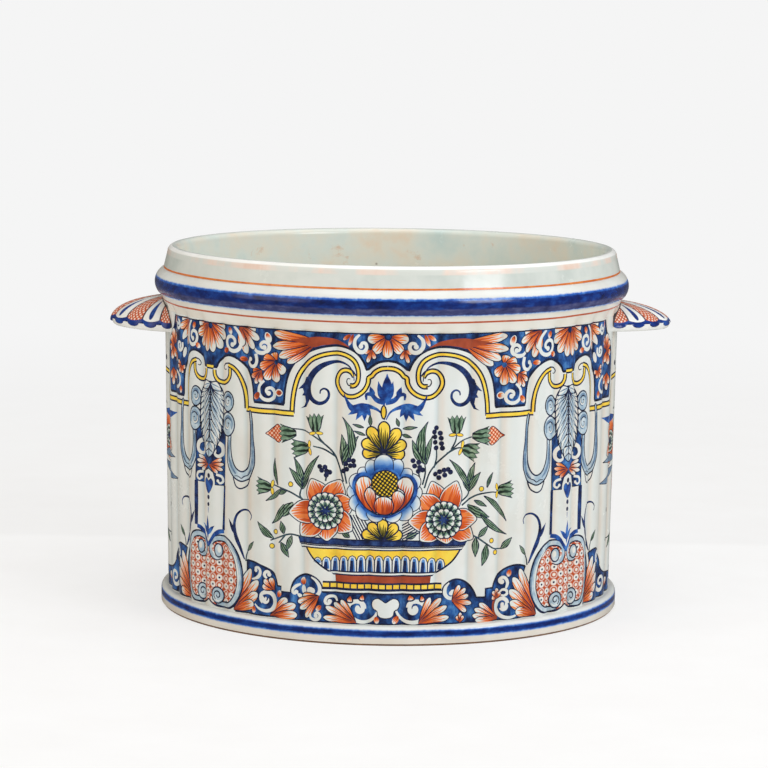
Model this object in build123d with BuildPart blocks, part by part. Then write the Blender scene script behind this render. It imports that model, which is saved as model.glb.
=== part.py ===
from build123d import *

import os
from math import cos, radians, sin

# Round faience cachepot: a reeded drum on a low foot, with a roll under the rim and a
# scallop-shell lug on each side. The solids are the clay pieces that are luted together
# before the firing. Millimetres, +Z up, origin at the centre of the foot.

# Whole pot
HEIGHT = 227.0
BORE_RADIUS = 134.5
BORE_TAPER = 3.0

# Rim collar, from the lip down to its seat on the wall
COLLAR_HEIGHT = 13.8
COLLAR_SKIRT = 8.0
COLLAR_FOOT_THICKNESS = 9.9
LIP_THICKNESS = 7.5

# Neck of the wall, which carries the collar, the roll and the cove
NECK_THICKNESS = 4.5

# Roll moulding, measured outwards from the neck
ROLL_HEIGHT = 15.7
ROLL_THICKNESS = 11.0
ROLL_CREST_HEIGHT = 6.8
ROLL_FOOT_THICKNESS = 8.2
ROLL_HEAD_THICKNESS = 5.2

# Cove under the roll, measured outwards from the neck
COVE_HEIGHT = 9.0
COVE_HEAD_THICKNESS = 7.5
COVE_FOOT_THICKNESS = 4.9
COVE_HOLLOW = 0.5

# Reeds of the drum, measured outwards from the bore
REED_COUNT = 44
REED_DEPTH = 1.8
REED_HEAD_THICKNESS = 9.1
REED_FOOT_THICKNESS = 9.5

# Spigot of the wall, which the foot band goes round
SPIGOT_THICKNESS = 6.5

# Floor, foot ring and foot band
FLOOR_THICKNESS = 8.0
FOOT_RING_HEIGHT = 5.0
FOOT_RING_WIDTH = 24.0
FOOT_RING_SHOW = 1.2
FOOT_RING_INSET = 0.9
FOOT_BAND_HEIGHT = 10.3
FOOT_BAND_THICKNESS = 7.3
FOOT_BAND_SHOULDER = 3.2

# Shell lugs; the seams are the angles between the ribs, as seen from a point inside the wall
SHELL_SEAMS = (-93, -84, -60, -36, -12, 12, 36, 60, 84, 93)
SHELL_LOBE_HEIGHT = 1.8
SHELL_INSET = 7.6
SHELL_REACH = 43.6
SHELL_HALF_WIDTH = 46.5
SHELL_POINT = 1.55
SHELL_TOP_GAP = 2.0
SHELL_RISE = 16.0
SHELL_DOME = 2.0
SHELL_SKIRT = 4.5
SHELL_LEDGE = 0.6
SHELL_TUCK = 3.0
SHELL_ROOT_DEPTH = 12.0
SHELL_LEVELS = (0.0, 0.25, 0.5, 0.7, 0.85, 0.95, 0.995)

# Levels that the pieces share
COLLAR_FOOT_Z = HEIGHT - COLLAR_HEIGHT
COLLAR_SEAT_Z = COLLAR_FOOT_Z - COLLAR_SKIRT
ROLL_FOOT_Z = COLLAR_FOOT_Z - ROLL_HEIGHT
COVE_FOOT_Z = ROLL_FOOT_Z - COVE_HEIGHT
FOOT_BAND_TOP_Z = FOOT_RING_SHOW + FOOT_BAND_HEIGHT
FLOOR_TOP_Z = FOOT_RING_HEIGHT + FLOOR_THICKNESS

# Radii that the pieces share
BORE_FOOT_RADIUS = BORE_RADIUS - BORE_TAPER
NECK_RADIUS = BORE_RADIUS + NECK_THICKNESS
REED_HEAD_RADIUS = BORE_RADIUS + REED_HEAD_THICKNESS
REED_FOOT_RADIUS = BORE_FOOT_RADIUS + REED_FOOT_THICKNESS
SPIGOT_RADIUS = BORE_FOOT_RADIUS + SPIGOT_THICKNESS
FOOT_BAND_RADIUS = SPIGOT_RADIUS + FOOT_BAND_THICKNESS
FOOT_RING_RADIUS = FOOT_BAND_RADIUS - FOOT_RING_INSET


def bore_radius(z):
    """Inside radius of the wall, which widens evenly from the foot ring to the collar."""
    share = (z - FOOT_RING_HEIGHT) / (COLLAR_SEAT_Z - FOOT_RING_HEIGHT)
    return BORE_FOOT_RADIUS + share * (BORE_RADIUS - BORE_FOOT_RADIUS)


def around(radius, degrees):
    """Point at an angle on a circle about the pot's axis."""
    return (radius * cos(radians(degrees)), radius * sin(radians(degrees)))


def draw_reeds(crest_radius):
    """Closed plan of the drum: one arc for each reed, with a reed facing each lug."""
    half_pitch = 180 / REED_COUNT
    groove_radius = crest_radius - REED_DEPTH
    for reed in range(REED_COUNT):
        middle = reed * 2 * half_pitch
        ThreePointArc(
            around(groove_radius, middle - half_pitch),
            around(crest_radius, middle),
            around(groove_radius, middle + half_pitch),
        )


def draw_shell(reach, half_width, lobe):
    """Closed plan of a lug at one height: lobes outside, and a root that runs into the wall."""
    root = REED_HEAD_RADIUS - SHELL_INSET
    back = root - SHELL_ROOT_DEPTH

    def on_rim(degrees, rise):
        across, along = around(1, degrees)
        fullness = (abs(across) ** SHELL_POINT + abs(along) ** SHELL_POINT) ** (-1 / SHELL_POINT)
        out = (reach - lobe + rise) * fullness * across
        return (root + out, (half_width - lobe + rise) * fullness * along)

    for start, stop in zip(SHELL_SEAMS, SHELL_SEAMS[1:]):
        ThreePointArc(on_rim(start, 0), on_rim((start + stop) / 2, lobe), on_rim(stop, 0))
    first, last = on_rim(SHELL_SEAMS[0], 0), on_rim(SHELL_SEAMS[-1], 0)
    Polyline(last, (back, last[1]), (back, first[1]), first)


# Foot ring: the bare ring that the pot stands on, rebated for the foot band
with BuildPart() as foot_ring:
    with BuildSketch(Plane.XZ):
        with BuildLine():
            inner = FOOT_RING_RADIUS - FOOT_RING_WIDTH
            Polyline(
                (inner, 0),
                (FOOT_RING_RADIUS, 0),
                (FOOT_RING_RADIUS, FOOT_RING_SHOW),
                (SPIGOT_RADIUS, FOOT_RING_SHOW),
                (SPIGOT_RADIUS, FOOT_RING_HEIGHT),
                (inner, FOOT_RING_HEIGHT),
                close=True,
            )
        make_face()
    revolve(axis=Axis.Z)

# Foot band: the plain plinth round the foot, with a rounded shoulder
with BuildPart() as foot_band:
    with BuildSketch(Plane.XZ):
        with BuildLine():
            shoulder_z = FOOT_BAND_TOP_Z - FOOT_BAND_SHOULDER
            shoulder_radius = FOOT_BAND_RADIUS - FOOT_BAND_SHOULDER
            Polyline(
                (shoulder_radius, FOOT_BAND_TOP_Z),
                (SPIGOT_RADIUS, FOOT_BAND_TOP_Z),
                (SPIGOT_RADIUS, FOOT_RING_SHOW),
                (FOOT_BAND_RADIUS, FOOT_RING_SHOW),
                (FOOT_BAND_RADIUS, shoulder_z),
            )
            RadiusArc(
                (FOOT_BAND_RADIUS, shoulder_z),
                (shoulder_radius, FOOT_BAND_TOP_Z),
                -FOOT_BAND_SHOULDER,
            )
        make_face()
    revolve(axis=Axis.Z)

# Floor slab: lies on the foot ring, inside the wall
with BuildPart() as floor_slab:
    with BuildSketch(Plane.XZ):
        with BuildLine():
            Polyline(
                (0, FOOT_RING_HEIGHT),
                (bore_radius(FOOT_RING_HEIGHT), FOOT_RING_HEIGHT),
                (bore_radius(FLOOR_TOP_Z), FLOOR_TOP_Z),
                (0, FLOOR_TOP_Z),
                close=True,
            )
        make_face()
    revolve(axis=Axis.Z)

# Drum: the wall before it is hollowed, which also shapes the backs of the lugs
with BuildPart() as drum:
    for level, crest in ((FOOT_BAND_TOP_Z, REED_FOOT_RADIUS), (COVE_FOOT_Z, REED_HEAD_RADIUS)):
        with BuildSketch(Plane.XY.offset(level)):
            with BuildLine():
                draw_reeds(crest)
            make_face()
    loft(ruled=True)
    with BuildSketch(Plane.XY.offset(COVE_FOOT_Z)):
        Circle(NECK_RADIUS)
    extrude(amount=COLLAR_SEAT_Z - COVE_FOOT_Z)
    with BuildSketch(Plane.XY.offset(FOOT_RING_HEIGHT)):
        Circle(SPIGOT_RADIUS)
    extrude(amount=FOOT_BAND_TOP_Z - FOOT_RING_HEIGHT)

# Reeded wall: the drum with its bore, a neck at the top and a spigot at the bottom
with BuildPart() as reeded_wall:
    add(drum.part)
    with BuildSketch(Plane.XZ):
        with BuildLine():
            Polyline(
                (0, FOOT_RING_HEIGHT),
                (bore_radius(FOOT_RING_HEIGHT), FOOT_RING_HEIGHT),
                (bore_radius(COLLAR_SEAT_Z), COLLAR_SEAT_Z),
                (0, COLLAR_SEAT_Z),
                close=True,
            )
        make_face()
    revolve(axis=Axis.Z, mode=Mode.SUBTRACT)

# Cove band: the hollow moulding that the reeds die into
with BuildPart() as cove_band:
    with BuildSketch(Plane.XZ):
        with BuildLine():
            foot = (NECK_RADIUS + COVE_FOOT_THICKNESS, COVE_FOOT_Z)
            head = (NECK_RADIUS + COVE_HEAD_THICKNESS, ROLL_FOOT_Z)
            hollow = ((foot[0] + head[0]) / 2 - COVE_HOLLOW, (foot[1] + head[1]) / 2)
            ThreePointArc(foot, hollow, head)
            Polyline(head, (NECK_RADIUS, ROLL_FOOT_Z), (NECK_RADIUS, COVE_FOOT_Z), foot)
        make_face()
    revolve(axis=Axis.Z)

# Roll moulding: covers the seam between the wall and the collar
with BuildPart() as roll_moulding:
    with BuildSketch(Plane.XZ):
        with BuildLine():
            foot = (NECK_RADIUS + ROLL_FOOT_THICKNESS, ROLL_FOOT_Z)
            crest = (NECK_RADIUS + ROLL_THICKNESS, ROLL_FOOT_Z + ROLL_CREST_HEIGHT)
            head = (NECK_RADIUS + ROLL_HEAD_THICKNESS, COLLAR_FOOT_Z)
            ThreePointArc(foot, crest, head)
            Polyline(head, (NECK_RADIUS, COLLAR_FOOT_Z), (NECK_RADIUS, ROLL_FOOT_Z), foot)
        make_face()
    revolve(axis=Axis.Z)

# Rim collar: stands on the neck, with a round lip and a skirt behind the roll
with BuildPart() as rim_collar:
    with BuildSketch(Plane.XZ):
        with BuildLine():
            lip_z = HEIGHT - LIP_THICKNESS / 2
            lip_radius = BORE_RADIUS + LIP_THICKNESS
            ThreePointArc(
                (lip_radius, lip_z),
                (BORE_RADIUS + LIP_THICKNESS / 2, HEIGHT),
                (BORE_RADIUS, lip_z),
            )
            Polyline(
                (BORE_RADIUS, lip_z),
                (BORE_RADIUS, COLLAR_SEAT_Z),
                (NECK_RADIUS, COLLAR_SEAT_Z),
                (NECK_RADIUS, COLLAR_FOOT_Z),
                (BORE_RADIUS + COLLAR_FOOT_THICKNESS, COLLAR_FOOT_Z),
                (lip_radius, lip_z),
            )
        make_face()
    revolve(axis=Axis.Z)

# Shell lug on the right: a smooth skirt, then a ribbed dome, fitted to the wall behind it
with BuildPart() as shell_handle_right:
    top_z = ROLL_FOOT_Z - SHELL_TOP_GAP
    edge_z = top_z - SHELL_RISE
    with BuildSketch(Plane.XY.offset(edge_z - SHELL_SKIRT)):
        with BuildLine():
            draw_shell(SHELL_REACH - SHELL_TUCK, SHELL_HALF_WIDTH - SHELL_TUCK, 0)
        make_face()
    with BuildSketch(Plane.XY.offset(edge_z)):
        with BuildLine():
            draw_shell(SHELL_REACH, SHELL_HALF_WIDTH, 0)
        make_face()
    loft(ruled=True)
    dome_reach = SHELL_REACH - SHELL_LEDGE
    dome_half_width = SHELL_HALF_WIDTH - SHELL_LEDGE
    for rise in SHELL_LEVELS:
        spread = (1 - rise**SHELL_DOME) ** (1 / SHELL_DOME)
        with BuildSketch(Plane.XY.offset(edge_z + rise * SHELL_RISE)):
            with BuildLine():
                draw_shell(spread * dome_reach, spread * dome_half_width, spread * SHELL_LOBE_HEIGHT)
            make_face()
    loft()
    add(drum.part, mode=Mode.SUBTRACT)
    add(cove_band.part, mode=Mode.SUBTRACT)

# Shell lug on the left: the same piece on the other side
with BuildPart() as shell_handle_left:
    mirror(shell_handle_right.part, about=Plane.YZ)

PIECES = {
    "foot_ring": foot_ring,
    "foot_band": foot_band,
    "floor_slab": floor_slab,
    "reeded_wall": reeded_wall,
    "cove_band": cove_band,
    "roll_moulding": roll_moulding,
    "rim_collar": rim_collar,
    "shell_handle_left": shell_handle_left,
    "shell_handle_right": shell_handle_right,
}

os.makedirs("parts", exist_ok=True)
for name, piece in PIECES.items():
    piece.part.label = name
    export_step(piece.part, f"parts/{name}.step")
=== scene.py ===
import math
from collections import namedtuple

import bpy
import numpy as np
from mathutils import Matrix, Vector
from mathutils.geometry import delaunay_2d_cdt


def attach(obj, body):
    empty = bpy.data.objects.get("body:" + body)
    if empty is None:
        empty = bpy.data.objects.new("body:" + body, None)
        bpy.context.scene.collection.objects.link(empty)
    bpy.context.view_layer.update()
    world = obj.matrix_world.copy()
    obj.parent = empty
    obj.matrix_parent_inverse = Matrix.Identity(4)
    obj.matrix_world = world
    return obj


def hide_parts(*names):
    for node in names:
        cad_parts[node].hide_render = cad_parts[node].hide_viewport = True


# Round faience cachepot: a reeded drum with its painted ornament, a blue roll and two shell lugs
# Sizes are in millimetres until a mesh is made, which is in metres

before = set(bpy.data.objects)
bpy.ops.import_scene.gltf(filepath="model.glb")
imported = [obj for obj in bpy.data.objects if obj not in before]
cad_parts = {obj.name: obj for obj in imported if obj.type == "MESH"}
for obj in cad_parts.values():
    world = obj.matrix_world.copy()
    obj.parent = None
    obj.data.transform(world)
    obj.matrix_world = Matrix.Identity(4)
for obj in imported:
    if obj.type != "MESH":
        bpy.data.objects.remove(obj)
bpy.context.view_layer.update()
MM = 0.001

# Levels and radii of the part, with the roll a hair slimmer and the lugs fitted again to the photo
HEIGHT = 227.0
COLLAR_FOOT = 213.2
COLLAR_SEAT = 205.2
ROLL_FOOT = 197.5
REED_HEAD = 188.5
REED_FOOT = 11.5
RING_TOP = 5.0
RING_SHOW = 1.2
BORE_RADIUS = 134.5
BORE_FOOT_RADIUS = 131.5
NECK_RADIUS = 139.0
SPIGOT_RADIUS = 138.0
LIP_THICKNESS = 7.5
COLLAR_FOOT_RADIUS = 144.4
ROLL_RADIUS = 149.96
ROLL_CREST = 204.3
ROLL_HEAD_RADIUS = 144.2
ROLL_FOOT_RADIUS = 147.2
COVE_HEAD_RADIUS = 146.5
COVE_FOOT_RADIUS = 143.9
COVE_HOLLOW = 0.5
FOOT_BAND_RADIUS = 145.3
FOOT_BAND_SHOULDER = 3.2
REED_COUNT = 44
REED_DEPTH = 1.8
REED_HEAD_RADIUS = 143.6
REED_FOOT_RADIUS = 141.0
SHELL_SEAMS = (-93, -79, -59, -36, -12, 12, 36, 59, 79, 93)
SHELL_ROOT = 136.0
SHELL_LOBE = 1.8
SHELL_REACH = 43.6
SHELL_HALF_WIDTH = 46.5
SHELL_POINT = 1.55
SHELL_TOP = 194.8
SHELL_RISE = 15.3
SHELL_SKIRT = 4.5
SHELL_LEDGE = 0.6
SHELL_HANG = 2.4


# Nodes and colours
def linear(code):
    """Linear colour of an sRGB hex value."""
    values = [int(code[at:at + 2], 16) / 255 for at in (1, 3, 5)]
    return tuple(v / 12.92 if v <= 0.04045 else ((v + 0.055) / 1.055) ** 2.4 for v in values) + (1.0,)


def add(tree, kind, *values, at=None, out=0, stops=None, **settings):
    """Adds a node, fills its inputs in order or by name, and gives one of its outputs."""
    made = tree.nodes.new(kind)
    for name, value in settings.items():
        setattr(made, name, value)
    for key, value in [*enumerate(values), *(at or {}).items()]:
        if isinstance(value, bpy.types.NodeSocket):
            tree.links.new(value, made.inputs[key])
        elif value is not None:
            made.inputs[key].default_value = value
    if stops:
        ramp = made.color_ramp.elements
        while len(ramp) < len(stops):
            ramp.new(1.0)
        for element, (position, code) in zip(ramp, stops):
            element.position = position
            element.color = linear(code)
    return made.outputs[out] if made.outputs else made


# Paints: each gives a colour socket
WHITE = "#e8e5df"


def mottled(stops, grain, stretch=(1, 1, 1)):
    """Paint in clouds of about grain millimetres, between its stops."""

    def colour(tree):
        place = add(tree, "ShaderNodeTexCoord", out="Object")
        place = add(tree, "ShaderNodeMapping", place, at={"Scale": stretch})
        clouds = {"Scale": 1000 / grain, "Detail": 4, "Roughness": 0.6}
        cloud = add(tree, "ShaderNodeTexNoise", place, at=clouds)
        return add(tree, "ShaderNodeValToRGB", cloud, stops=stops)

    return colour


def stroked(ground, stops, count, length, width, ragged=0.12):
    """Petal paint: tapering strokes from root to tip, over a ground left bare at the tip."""

    def colour(tree):
        place = add(tree, "ShaderNodeUVMap", uv_map="brush")
        across, along = add(tree, "ShaderNodeSeparateXYZ", place).node.outputs[:2]
        spot = add(tree, "ShaderNodeTexCoord", out="Object")
        sway = add(tree, "ShaderNodeTexNoise", spot, at={"Scale": 1000 / 5, "Detail": 1})
        lane = add(tree, "ShaderNodeMath", across, count / 2, sway, operation="MULTIPLY_ADD")
        middle = add(tree, "ShaderNodeMath", lane, operation="ROUND")
        off = add(tree, "ShaderNodeMath", lane, middle, operation="SUBTRACT")
        off = add(tree, "ShaderNodeMath", off, operation="ABSOLUTE")
        chance = add(tree, "ShaderNodeTexWhiteNoise", at={"W": middle}, noise_dimensions="1D")
        end = add(tree, "ShaderNodeMath", chance, 2 * ragged, length - ragged, operation="MULTIPLY_ADD")
        taper = add(tree, "ShaderNodeMath", along, end, operation="DIVIDE")
        taper = add(tree, "ShaderNodeMath", taper, 4.0, operation="POWER")
        half = add(tree, "ShaderNodeMath", taper, -width / 2, width / 2, operation="MULTIPLY_ADD")
        over = add(tree, "ShaderNodeMath", off, half, operation="SUBTRACT")
        cover = add(tree, "ShaderNodeMapRange", over, -0.06, 0.06, 1.0, 0.0)
        tone = add(tree, "ShaderNodeMath", chance, 0.6, along, operation="MULTIPLY_ADD")
        tone = add(tree, "ShaderNodeMath", tone, 0.3, operation="SUBTRACT")
        stroke = add(tree, "ShaderNodeValToRGB", tone, stops=stops)
        return add(tree, "ShaderNodeMix", cover, at={6: ground(tree), 7: stroke}, out=2, data_type="RGBA")

    return colour


def shaded(stops, waver=0.16):
    """Paint that changes from the root of a dab to its tip, brushed on unevenly."""

    def colour(tree):
        place = add(tree, "ShaderNodeUVMap", uv_map="brush")
        along = add(tree, "ShaderNodeSeparateXYZ", place, out=1)
        spot = add(tree, "ShaderNodeTexCoord", out="Object")
        sway = add(tree, "ShaderNodeTexNoise", spot, at={"Scale": 1000 / 5, "Detail": 3})
        along = add(tree, "ShaderNodeMath", sway, waver, along, operation="MULTIPLY_ADD")
        along = add(tree, "ShaderNodeMath", along, waver / 2, operation="SUBTRACT")
        return add(tree, "ShaderNodeValToRGB", along, stops=stops)

    return colour


def latticed(pitch, cells, between, slant=0.0, squat=1.0):
    """A chessboard net of two kinds of cell; stops run from a cell's middle (0) to its corner (1)."""

    def colour(tree):
        place = add(tree, "ShaderNodeUVMap", uv_map="brush")
        turn = (0, 0, math.radians(slant))
        scale = (1 / pitch, 1 / (pitch * squat), 0)
        net = add(tree, "ShaderNodeMapping", place, at={"Rotation": turn, "Scale": scale})
        cell = add(tree, "ShaderNodeVectorMath", net, operation="FRACTION")
        cell = add(tree, "ShaderNodeVectorMath", cell, (0.5, 0.5, 0), operation="SUBTRACT")
        reach = add(tree, "ShaderNodeVectorMath", cell, out="Value", operation="LENGTH")
        reach = add(tree, "ShaderNodeMath", reach, math.sqrt(2), operation="MULTIPLY")
        column, row = add(tree, "ShaderNodeSeparateXYZ", net).node.outputs[:2]
        column = add(tree, "ShaderNodeMath", column, operation="FLOOR")
        row = add(tree, "ShaderNodeMath", row, operation="FLOOR")
        kind = add(tree, "ShaderNodeMath", column, row, operation="ADD")
        kind = add(tree, "ShaderNodeMath", kind, 2.0, operation="FLOORED_MODULO")
        one = add(tree, "ShaderNodeValToRGB", reach, stops=cells)
        two = add(tree, "ShaderNodeValToRGB", reach, stops=between)
        return add(tree, "ShaderNodeMix", kind, at={6: one, 7: two}, out=2, data_type="RGBA")

    return colour


def groove_dirt_and_painted_light(paint):
    """The same paint on the reeds under painted light and shade: cool where a groove faces the window,
    darker in the groove with some dirt, and warm beyond.
    """

    def colour(tree):
        place = add(tree, "ShaderNodeTexCoord", out="Object")
        split = add(tree, "ShaderNodeSeparateXYZ", place).node.outputs
        front = add(tree, "ShaderNodeMath", split[1], -1.0, operation="MULTIPLY")
        angle = add(tree, "ShaderNodeMath", split[0], front, operation="ARCTAN2")
        turns = add(tree, "ShaderNodeMath", angle, REED_COUNT / math.tau, operation="MULTIPLY")
        off = add(tree, "ShaderNodeMath", turns, 1.0, operation="FLOORED_MODULO")
        # Painted light and shade of the reeds, with some dirt in the grooves
        dirt_and_light = add(tree, "ShaderNodeValToRGB", off, stops=GROOVE_DIRT_AND_PAINTED_LIGHT)
        return add(tree, "ShaderNodeMix", 1.0, at={6: paint(tree), 7: dirt_and_light}, out=2, data_type="RGBA",
                   blend_type="MULTIPLY")

    return colour


def banded(ground, bands, waver=0.7, feather=0.0):
    """Lines run round the pot on the wheel: each has a foot, a head, a soft edge and a paint."""

    def colour(tree):
        place = add(tree, "ShaderNodeTexCoord", out="Object")
        level = add(tree, "ShaderNodeSeparateXYZ", place).node.outputs[2]
        level = add(tree, "ShaderNodeMath", level, 1000.0, operation="MULTIPLY")
        sway = add(tree, "ShaderNodeTexNoise", place, at={"Scale": 1000 / 45, "Detail": 3})
        level = add(tree, "ShaderNodeMath", sway, 2 * waver, level, operation="MULTIPLY_ADD")
        upright = add(tree, "ShaderNodeMapping", place, at={"Scale": (1, 1, 0.2)})
        bleed = add(tree, "ShaderNodeTexNoise", upright, at={"Scale": 1000 / 2.5, "Detail": 2})
        level = add(tree, "ShaderNodeMath", bleed, 2 * feather, level, operation="MULTIPLY_ADD")
        level = add(tree, "ShaderNodeMath", level, waver + feather, operation="SUBTRACT")
        flat = add(tree, "ShaderNodeVectorMath", place, (1, 1, 0), operation="MULTIPLY")
        away = add(tree, "ShaderNodeVectorMath", flat, out="Value", operation="LENGTH")
        outside = add(tree, "ShaderNodeMath", away, NECK_RADIUS * MM, operation="GREATER_THAN")
        paint = ground(tree)
        for foot, head, soft, stroke in bands:
            rise = add(tree, "ShaderNodeMapRange", level, foot - soft, foot + soft,
                       interpolation_type="SMOOTHSTEP")
            fall = add(tree, "ShaderNodeMapRange", level, head - soft, head + soft, 1.0, 0.0,
                       interpolation_type="SMOOTHSTEP")
            cover = add(tree, "ShaderNodeMath", rise, fall, operation="MULTIPLY")
            cover = add(tree, "ShaderNodeMath", cover, outside, operation="MULTIPLY")
            paint = add(tree, "ShaderNodeMix", cover, at={6: paint, 7: stroke(tree)}, out=2,
                        data_type="RGBA")
        return paint

    return colour


def stained(ground, stain, spread, grain, pit="#6e5a48"):
    """Worn glaze: patches where a stain shows over a share of the surface, and pits a millimetre wide."""

    def colour(tree):
        place = add(tree, "ShaderNodeTexCoord", out="Object")
        clouds = {"Scale": 1000 / grain, "Detail": 6, "Roughness": 0.68}
        patches = add(tree, "ShaderNodeTexNoise", place, at=clouds)
        cover = add(tree, "ShaderNodeMapRange", patches, 0.72 - spread, 0.82 - spread, 0.0, 0.8)
        paint = add(tree, "ShaderNodeMix", cover, at={6: ground(tree), 7: linear(stain)}, out=2,
                    data_type="RGBA")
        holes = add(tree, "ShaderNodeTexVoronoi", place, at={"Scale": 1000 / 26, "Randomness": 1.0})
        holes = add(tree, "ShaderNodeMapRange", holes, 0.02, 0.05, 0.75, 0.0)
        return add(tree, "ShaderNodeMix", holes, at={6: paint, 7: linear(pit)}, out=2, data_type="RGBA")

    return colour


def parted(within, without):
    """One paint inside the pot and another outside it, parted along the lip."""

    def colour(tree):
        place = add(tree, "ShaderNodeTexCoord", out="Object")
        flat = add(tree, "ShaderNodeVectorMath", place, (1, 1, 0), operation="MULTIPLY")
        away = add(tree, "ShaderNodeVectorMath", flat, out="Value", operation="LENGTH")
        cover = add(tree, "ShaderNodeMapRange", away, (BORE_RADIUS + 1) * MM, (BORE_RADIUS + 3) * MM)
        return add(tree, "ShaderNodeMix", cover, at={6: within(tree), 7: without(tree)}, out=2,
                   data_type="RGBA")

    return colour


# Paint of a lug: shares along a rib, from its edge (0) to its top (1), and across the ribs
RIM_LINE = 0.18
SKIRT_LINE = -0.03
STROKE_MIDDLE = 0.54
STROKE_REACH = 0.3
STROKE_WIDTH = 0.2
STROKE_TAPER = -0.12
NET_LANES = 5.0
NET_ROWS = 7.0
MIDDLE_RIB = 4.5
RED_NET = [(0.08, "#bd4f2a"), (0.2, "#dd8a62"), (0.3, "#f3dfd2")]
CREST_SEAM = "#a0503a"
SIDE_SEAM = "#453a48"
# Painted shade in the crease where a lug's top meets the wall: its colour, and the radius and slope of its
# edge
JOINT_SHADE = "#39323a"
JOINT_RADIUS = 144.1
JOINT_SLOPE = 0.27


def shell_net(tree, across, along):
    """Net of crossed iron-red lines on a rib."""
    lanes = add(tree, "ShaderNodeMath", across, NET_LANES, operation="MULTIPLY")
    rise = add(tree, "ShaderNodeMath", along, NET_ROWS, operation="MULTIPLY")
    near = []
    for way in ("ADD", "SUBTRACT"):
        line = add(tree, "ShaderNodeMath", lanes, rise, operation=way)
        near.append(add(tree, "ShaderNodeMath", line, 0.5, operation="PINGPONG"))
    least = add(tree, "ShaderNodeMath", *near, operation="MINIMUM")
    return add(tree, "ShaderNodeValToRGB", least, stops=RED_NET)


def shell_stroke(tree, off, along):
    """White rib with one blue stroke in the shape of a drop."""
    reach = add(tree, "ShaderNodeMath", along, STROKE_MIDDLE, operation="SUBTRACT")
    reach = add(tree, "ShaderNodeMath", reach, STROKE_REACH, operation="DIVIDE")
    room = add(tree, "ShaderNodeMath", reach, reach, operation="MULTIPLY")
    room = add(tree, "ShaderNodeMath", room, -1.0, 1.0, operation="MULTIPLY_ADD")
    room = add(tree, "ShaderNodeMath", room, 0.0, operation="MAXIMUM")
    half = add(tree, "ShaderNodeMath", room, operation="SQRT")
    taper = add(tree, "ShaderNodeMath", along, STROKE_TAPER, STROKE_WIDTH, operation="MULTIPLY_ADD")
    half = add(tree, "ShaderNodeMath", half, taper, operation="MULTIPLY")
    middle = add(tree, "ShaderNodeMath", 0.5, off, operation="SUBTRACT")
    over = add(tree, "ShaderNodeMath", middle, half, operation="SUBTRACT")
    cover = add(tree, "ShaderNodeMapRange", over, -0.02, 0.02, 1.0, 0.0)
    drawn = add(tree, "ShaderNodeMath", half, 0.01, operation="GREATER_THAN")
    cover = add(tree, "ShaderNodeMath", cover, drawn, operation="MULTIPLY")
    coats = {6: LUG_GLAZE(tree), 7: COBALT_LINE(tree)}
    return add(tree, "ShaderNodeMix", cover, at=coats, out=2, data_type="RGBA")


def shell_joint_shade(tree, along):
    """Painted shade in the crease where the top of a lug meets the wall and the cove."""
    spot = add(tree, "ShaderNodeTexCoord", out="Object")
    flat = add(tree, "ShaderNodeVectorMath", spot, (1, 1, 0), operation="MULTIPLY")
    away = add(tree, "ShaderNodeVectorMath", flat, out="Value", operation="LENGTH")
    level = add(tree, "ShaderNodeSeparateXYZ", spot, out=2)
    climb = add(tree, "ShaderNodeMath", level, REED_HEAD * MM, operation="SUBTRACT")
    climb = add(tree, "ShaderNodeMath", climb, 0.0, operation="MAXIMUM")
    seat = add(tree, "ShaderNodeMath", climb, JOINT_SLOPE, JOINT_RADIUS * MM, operation="MULTIPLY_ADD")
    near = add(tree, "ShaderNodeMath", away, seat, operation="LESS_THAN")
    above = add(tree, "ShaderNodeMath", along, 0.0, operation="GREATER_THAN")
    return add(tree, "ShaderNodeMath", near, above, operation="MULTIPLY")


def shell_paint(tree):
    """Ribs by turns netted in iron red and left white with a blue stroke, inside a cobalt edge, with painted
    shade where the lug meets the wall.
    """
    place = add(tree, "ShaderNodeUVMap", uv_map="brush")
    across, along = add(tree, "ShaderNodeSeparateXYZ", place).node.outputs[:2]
    off = add(tree, "ShaderNodeMath", across, 0.5, operation="PINGPONG")
    rib = add(tree, "ShaderNodeMath", across, operation="FLOOR")
    bare = add(tree, "ShaderNodeMath", rib, 2.0, operation="FLOORED_MODULO")
    seam = add(tree, "ShaderNodeMapRange", off, 0.03, 0.055, 1.0, 0.0)
    crest = add(tree, "ShaderNodeMath", across, MIDDLE_RIB, operation="SUBTRACT")
    crest = add(tree, "ShaderNodeMath", crest, operation="ABSOLUTE")
    crest = add(tree, "ShaderNodeMath", crest, 0.7, operation="LESS_THAN")
    seams = {6: linear(SIDE_SEAM), 7: linear(CREST_SEAM)}
    seams = add(tree, "ShaderNodeMix", crest, at=seams, out=2, data_type="RGBA")
    rim = add(tree, "ShaderNodeMath", along, RIM_LINE, operation="LESS_THAN")
    skirt = add(tree, "ShaderNodeMath", along, SKIRT_LINE, operation="LESS_THAN")
    coats = (
        (bare, shell_stroke(tree, off, along)),
        (seam, seams),
        (rim, COBALT_LINE(tree)),
        (skirt, LUG_GLAZE(tree)),
        (shell_joint_shade(tree, along), linear(JOINT_SHADE)),
    )
    paint = shell_net(tree, across, along)
    for cover, coat in coats:
        paint = add(tree, "ShaderNodeMix", cover, at={6: paint, 7: coat}, out=2, data_type="RGBA")
    return paint


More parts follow.
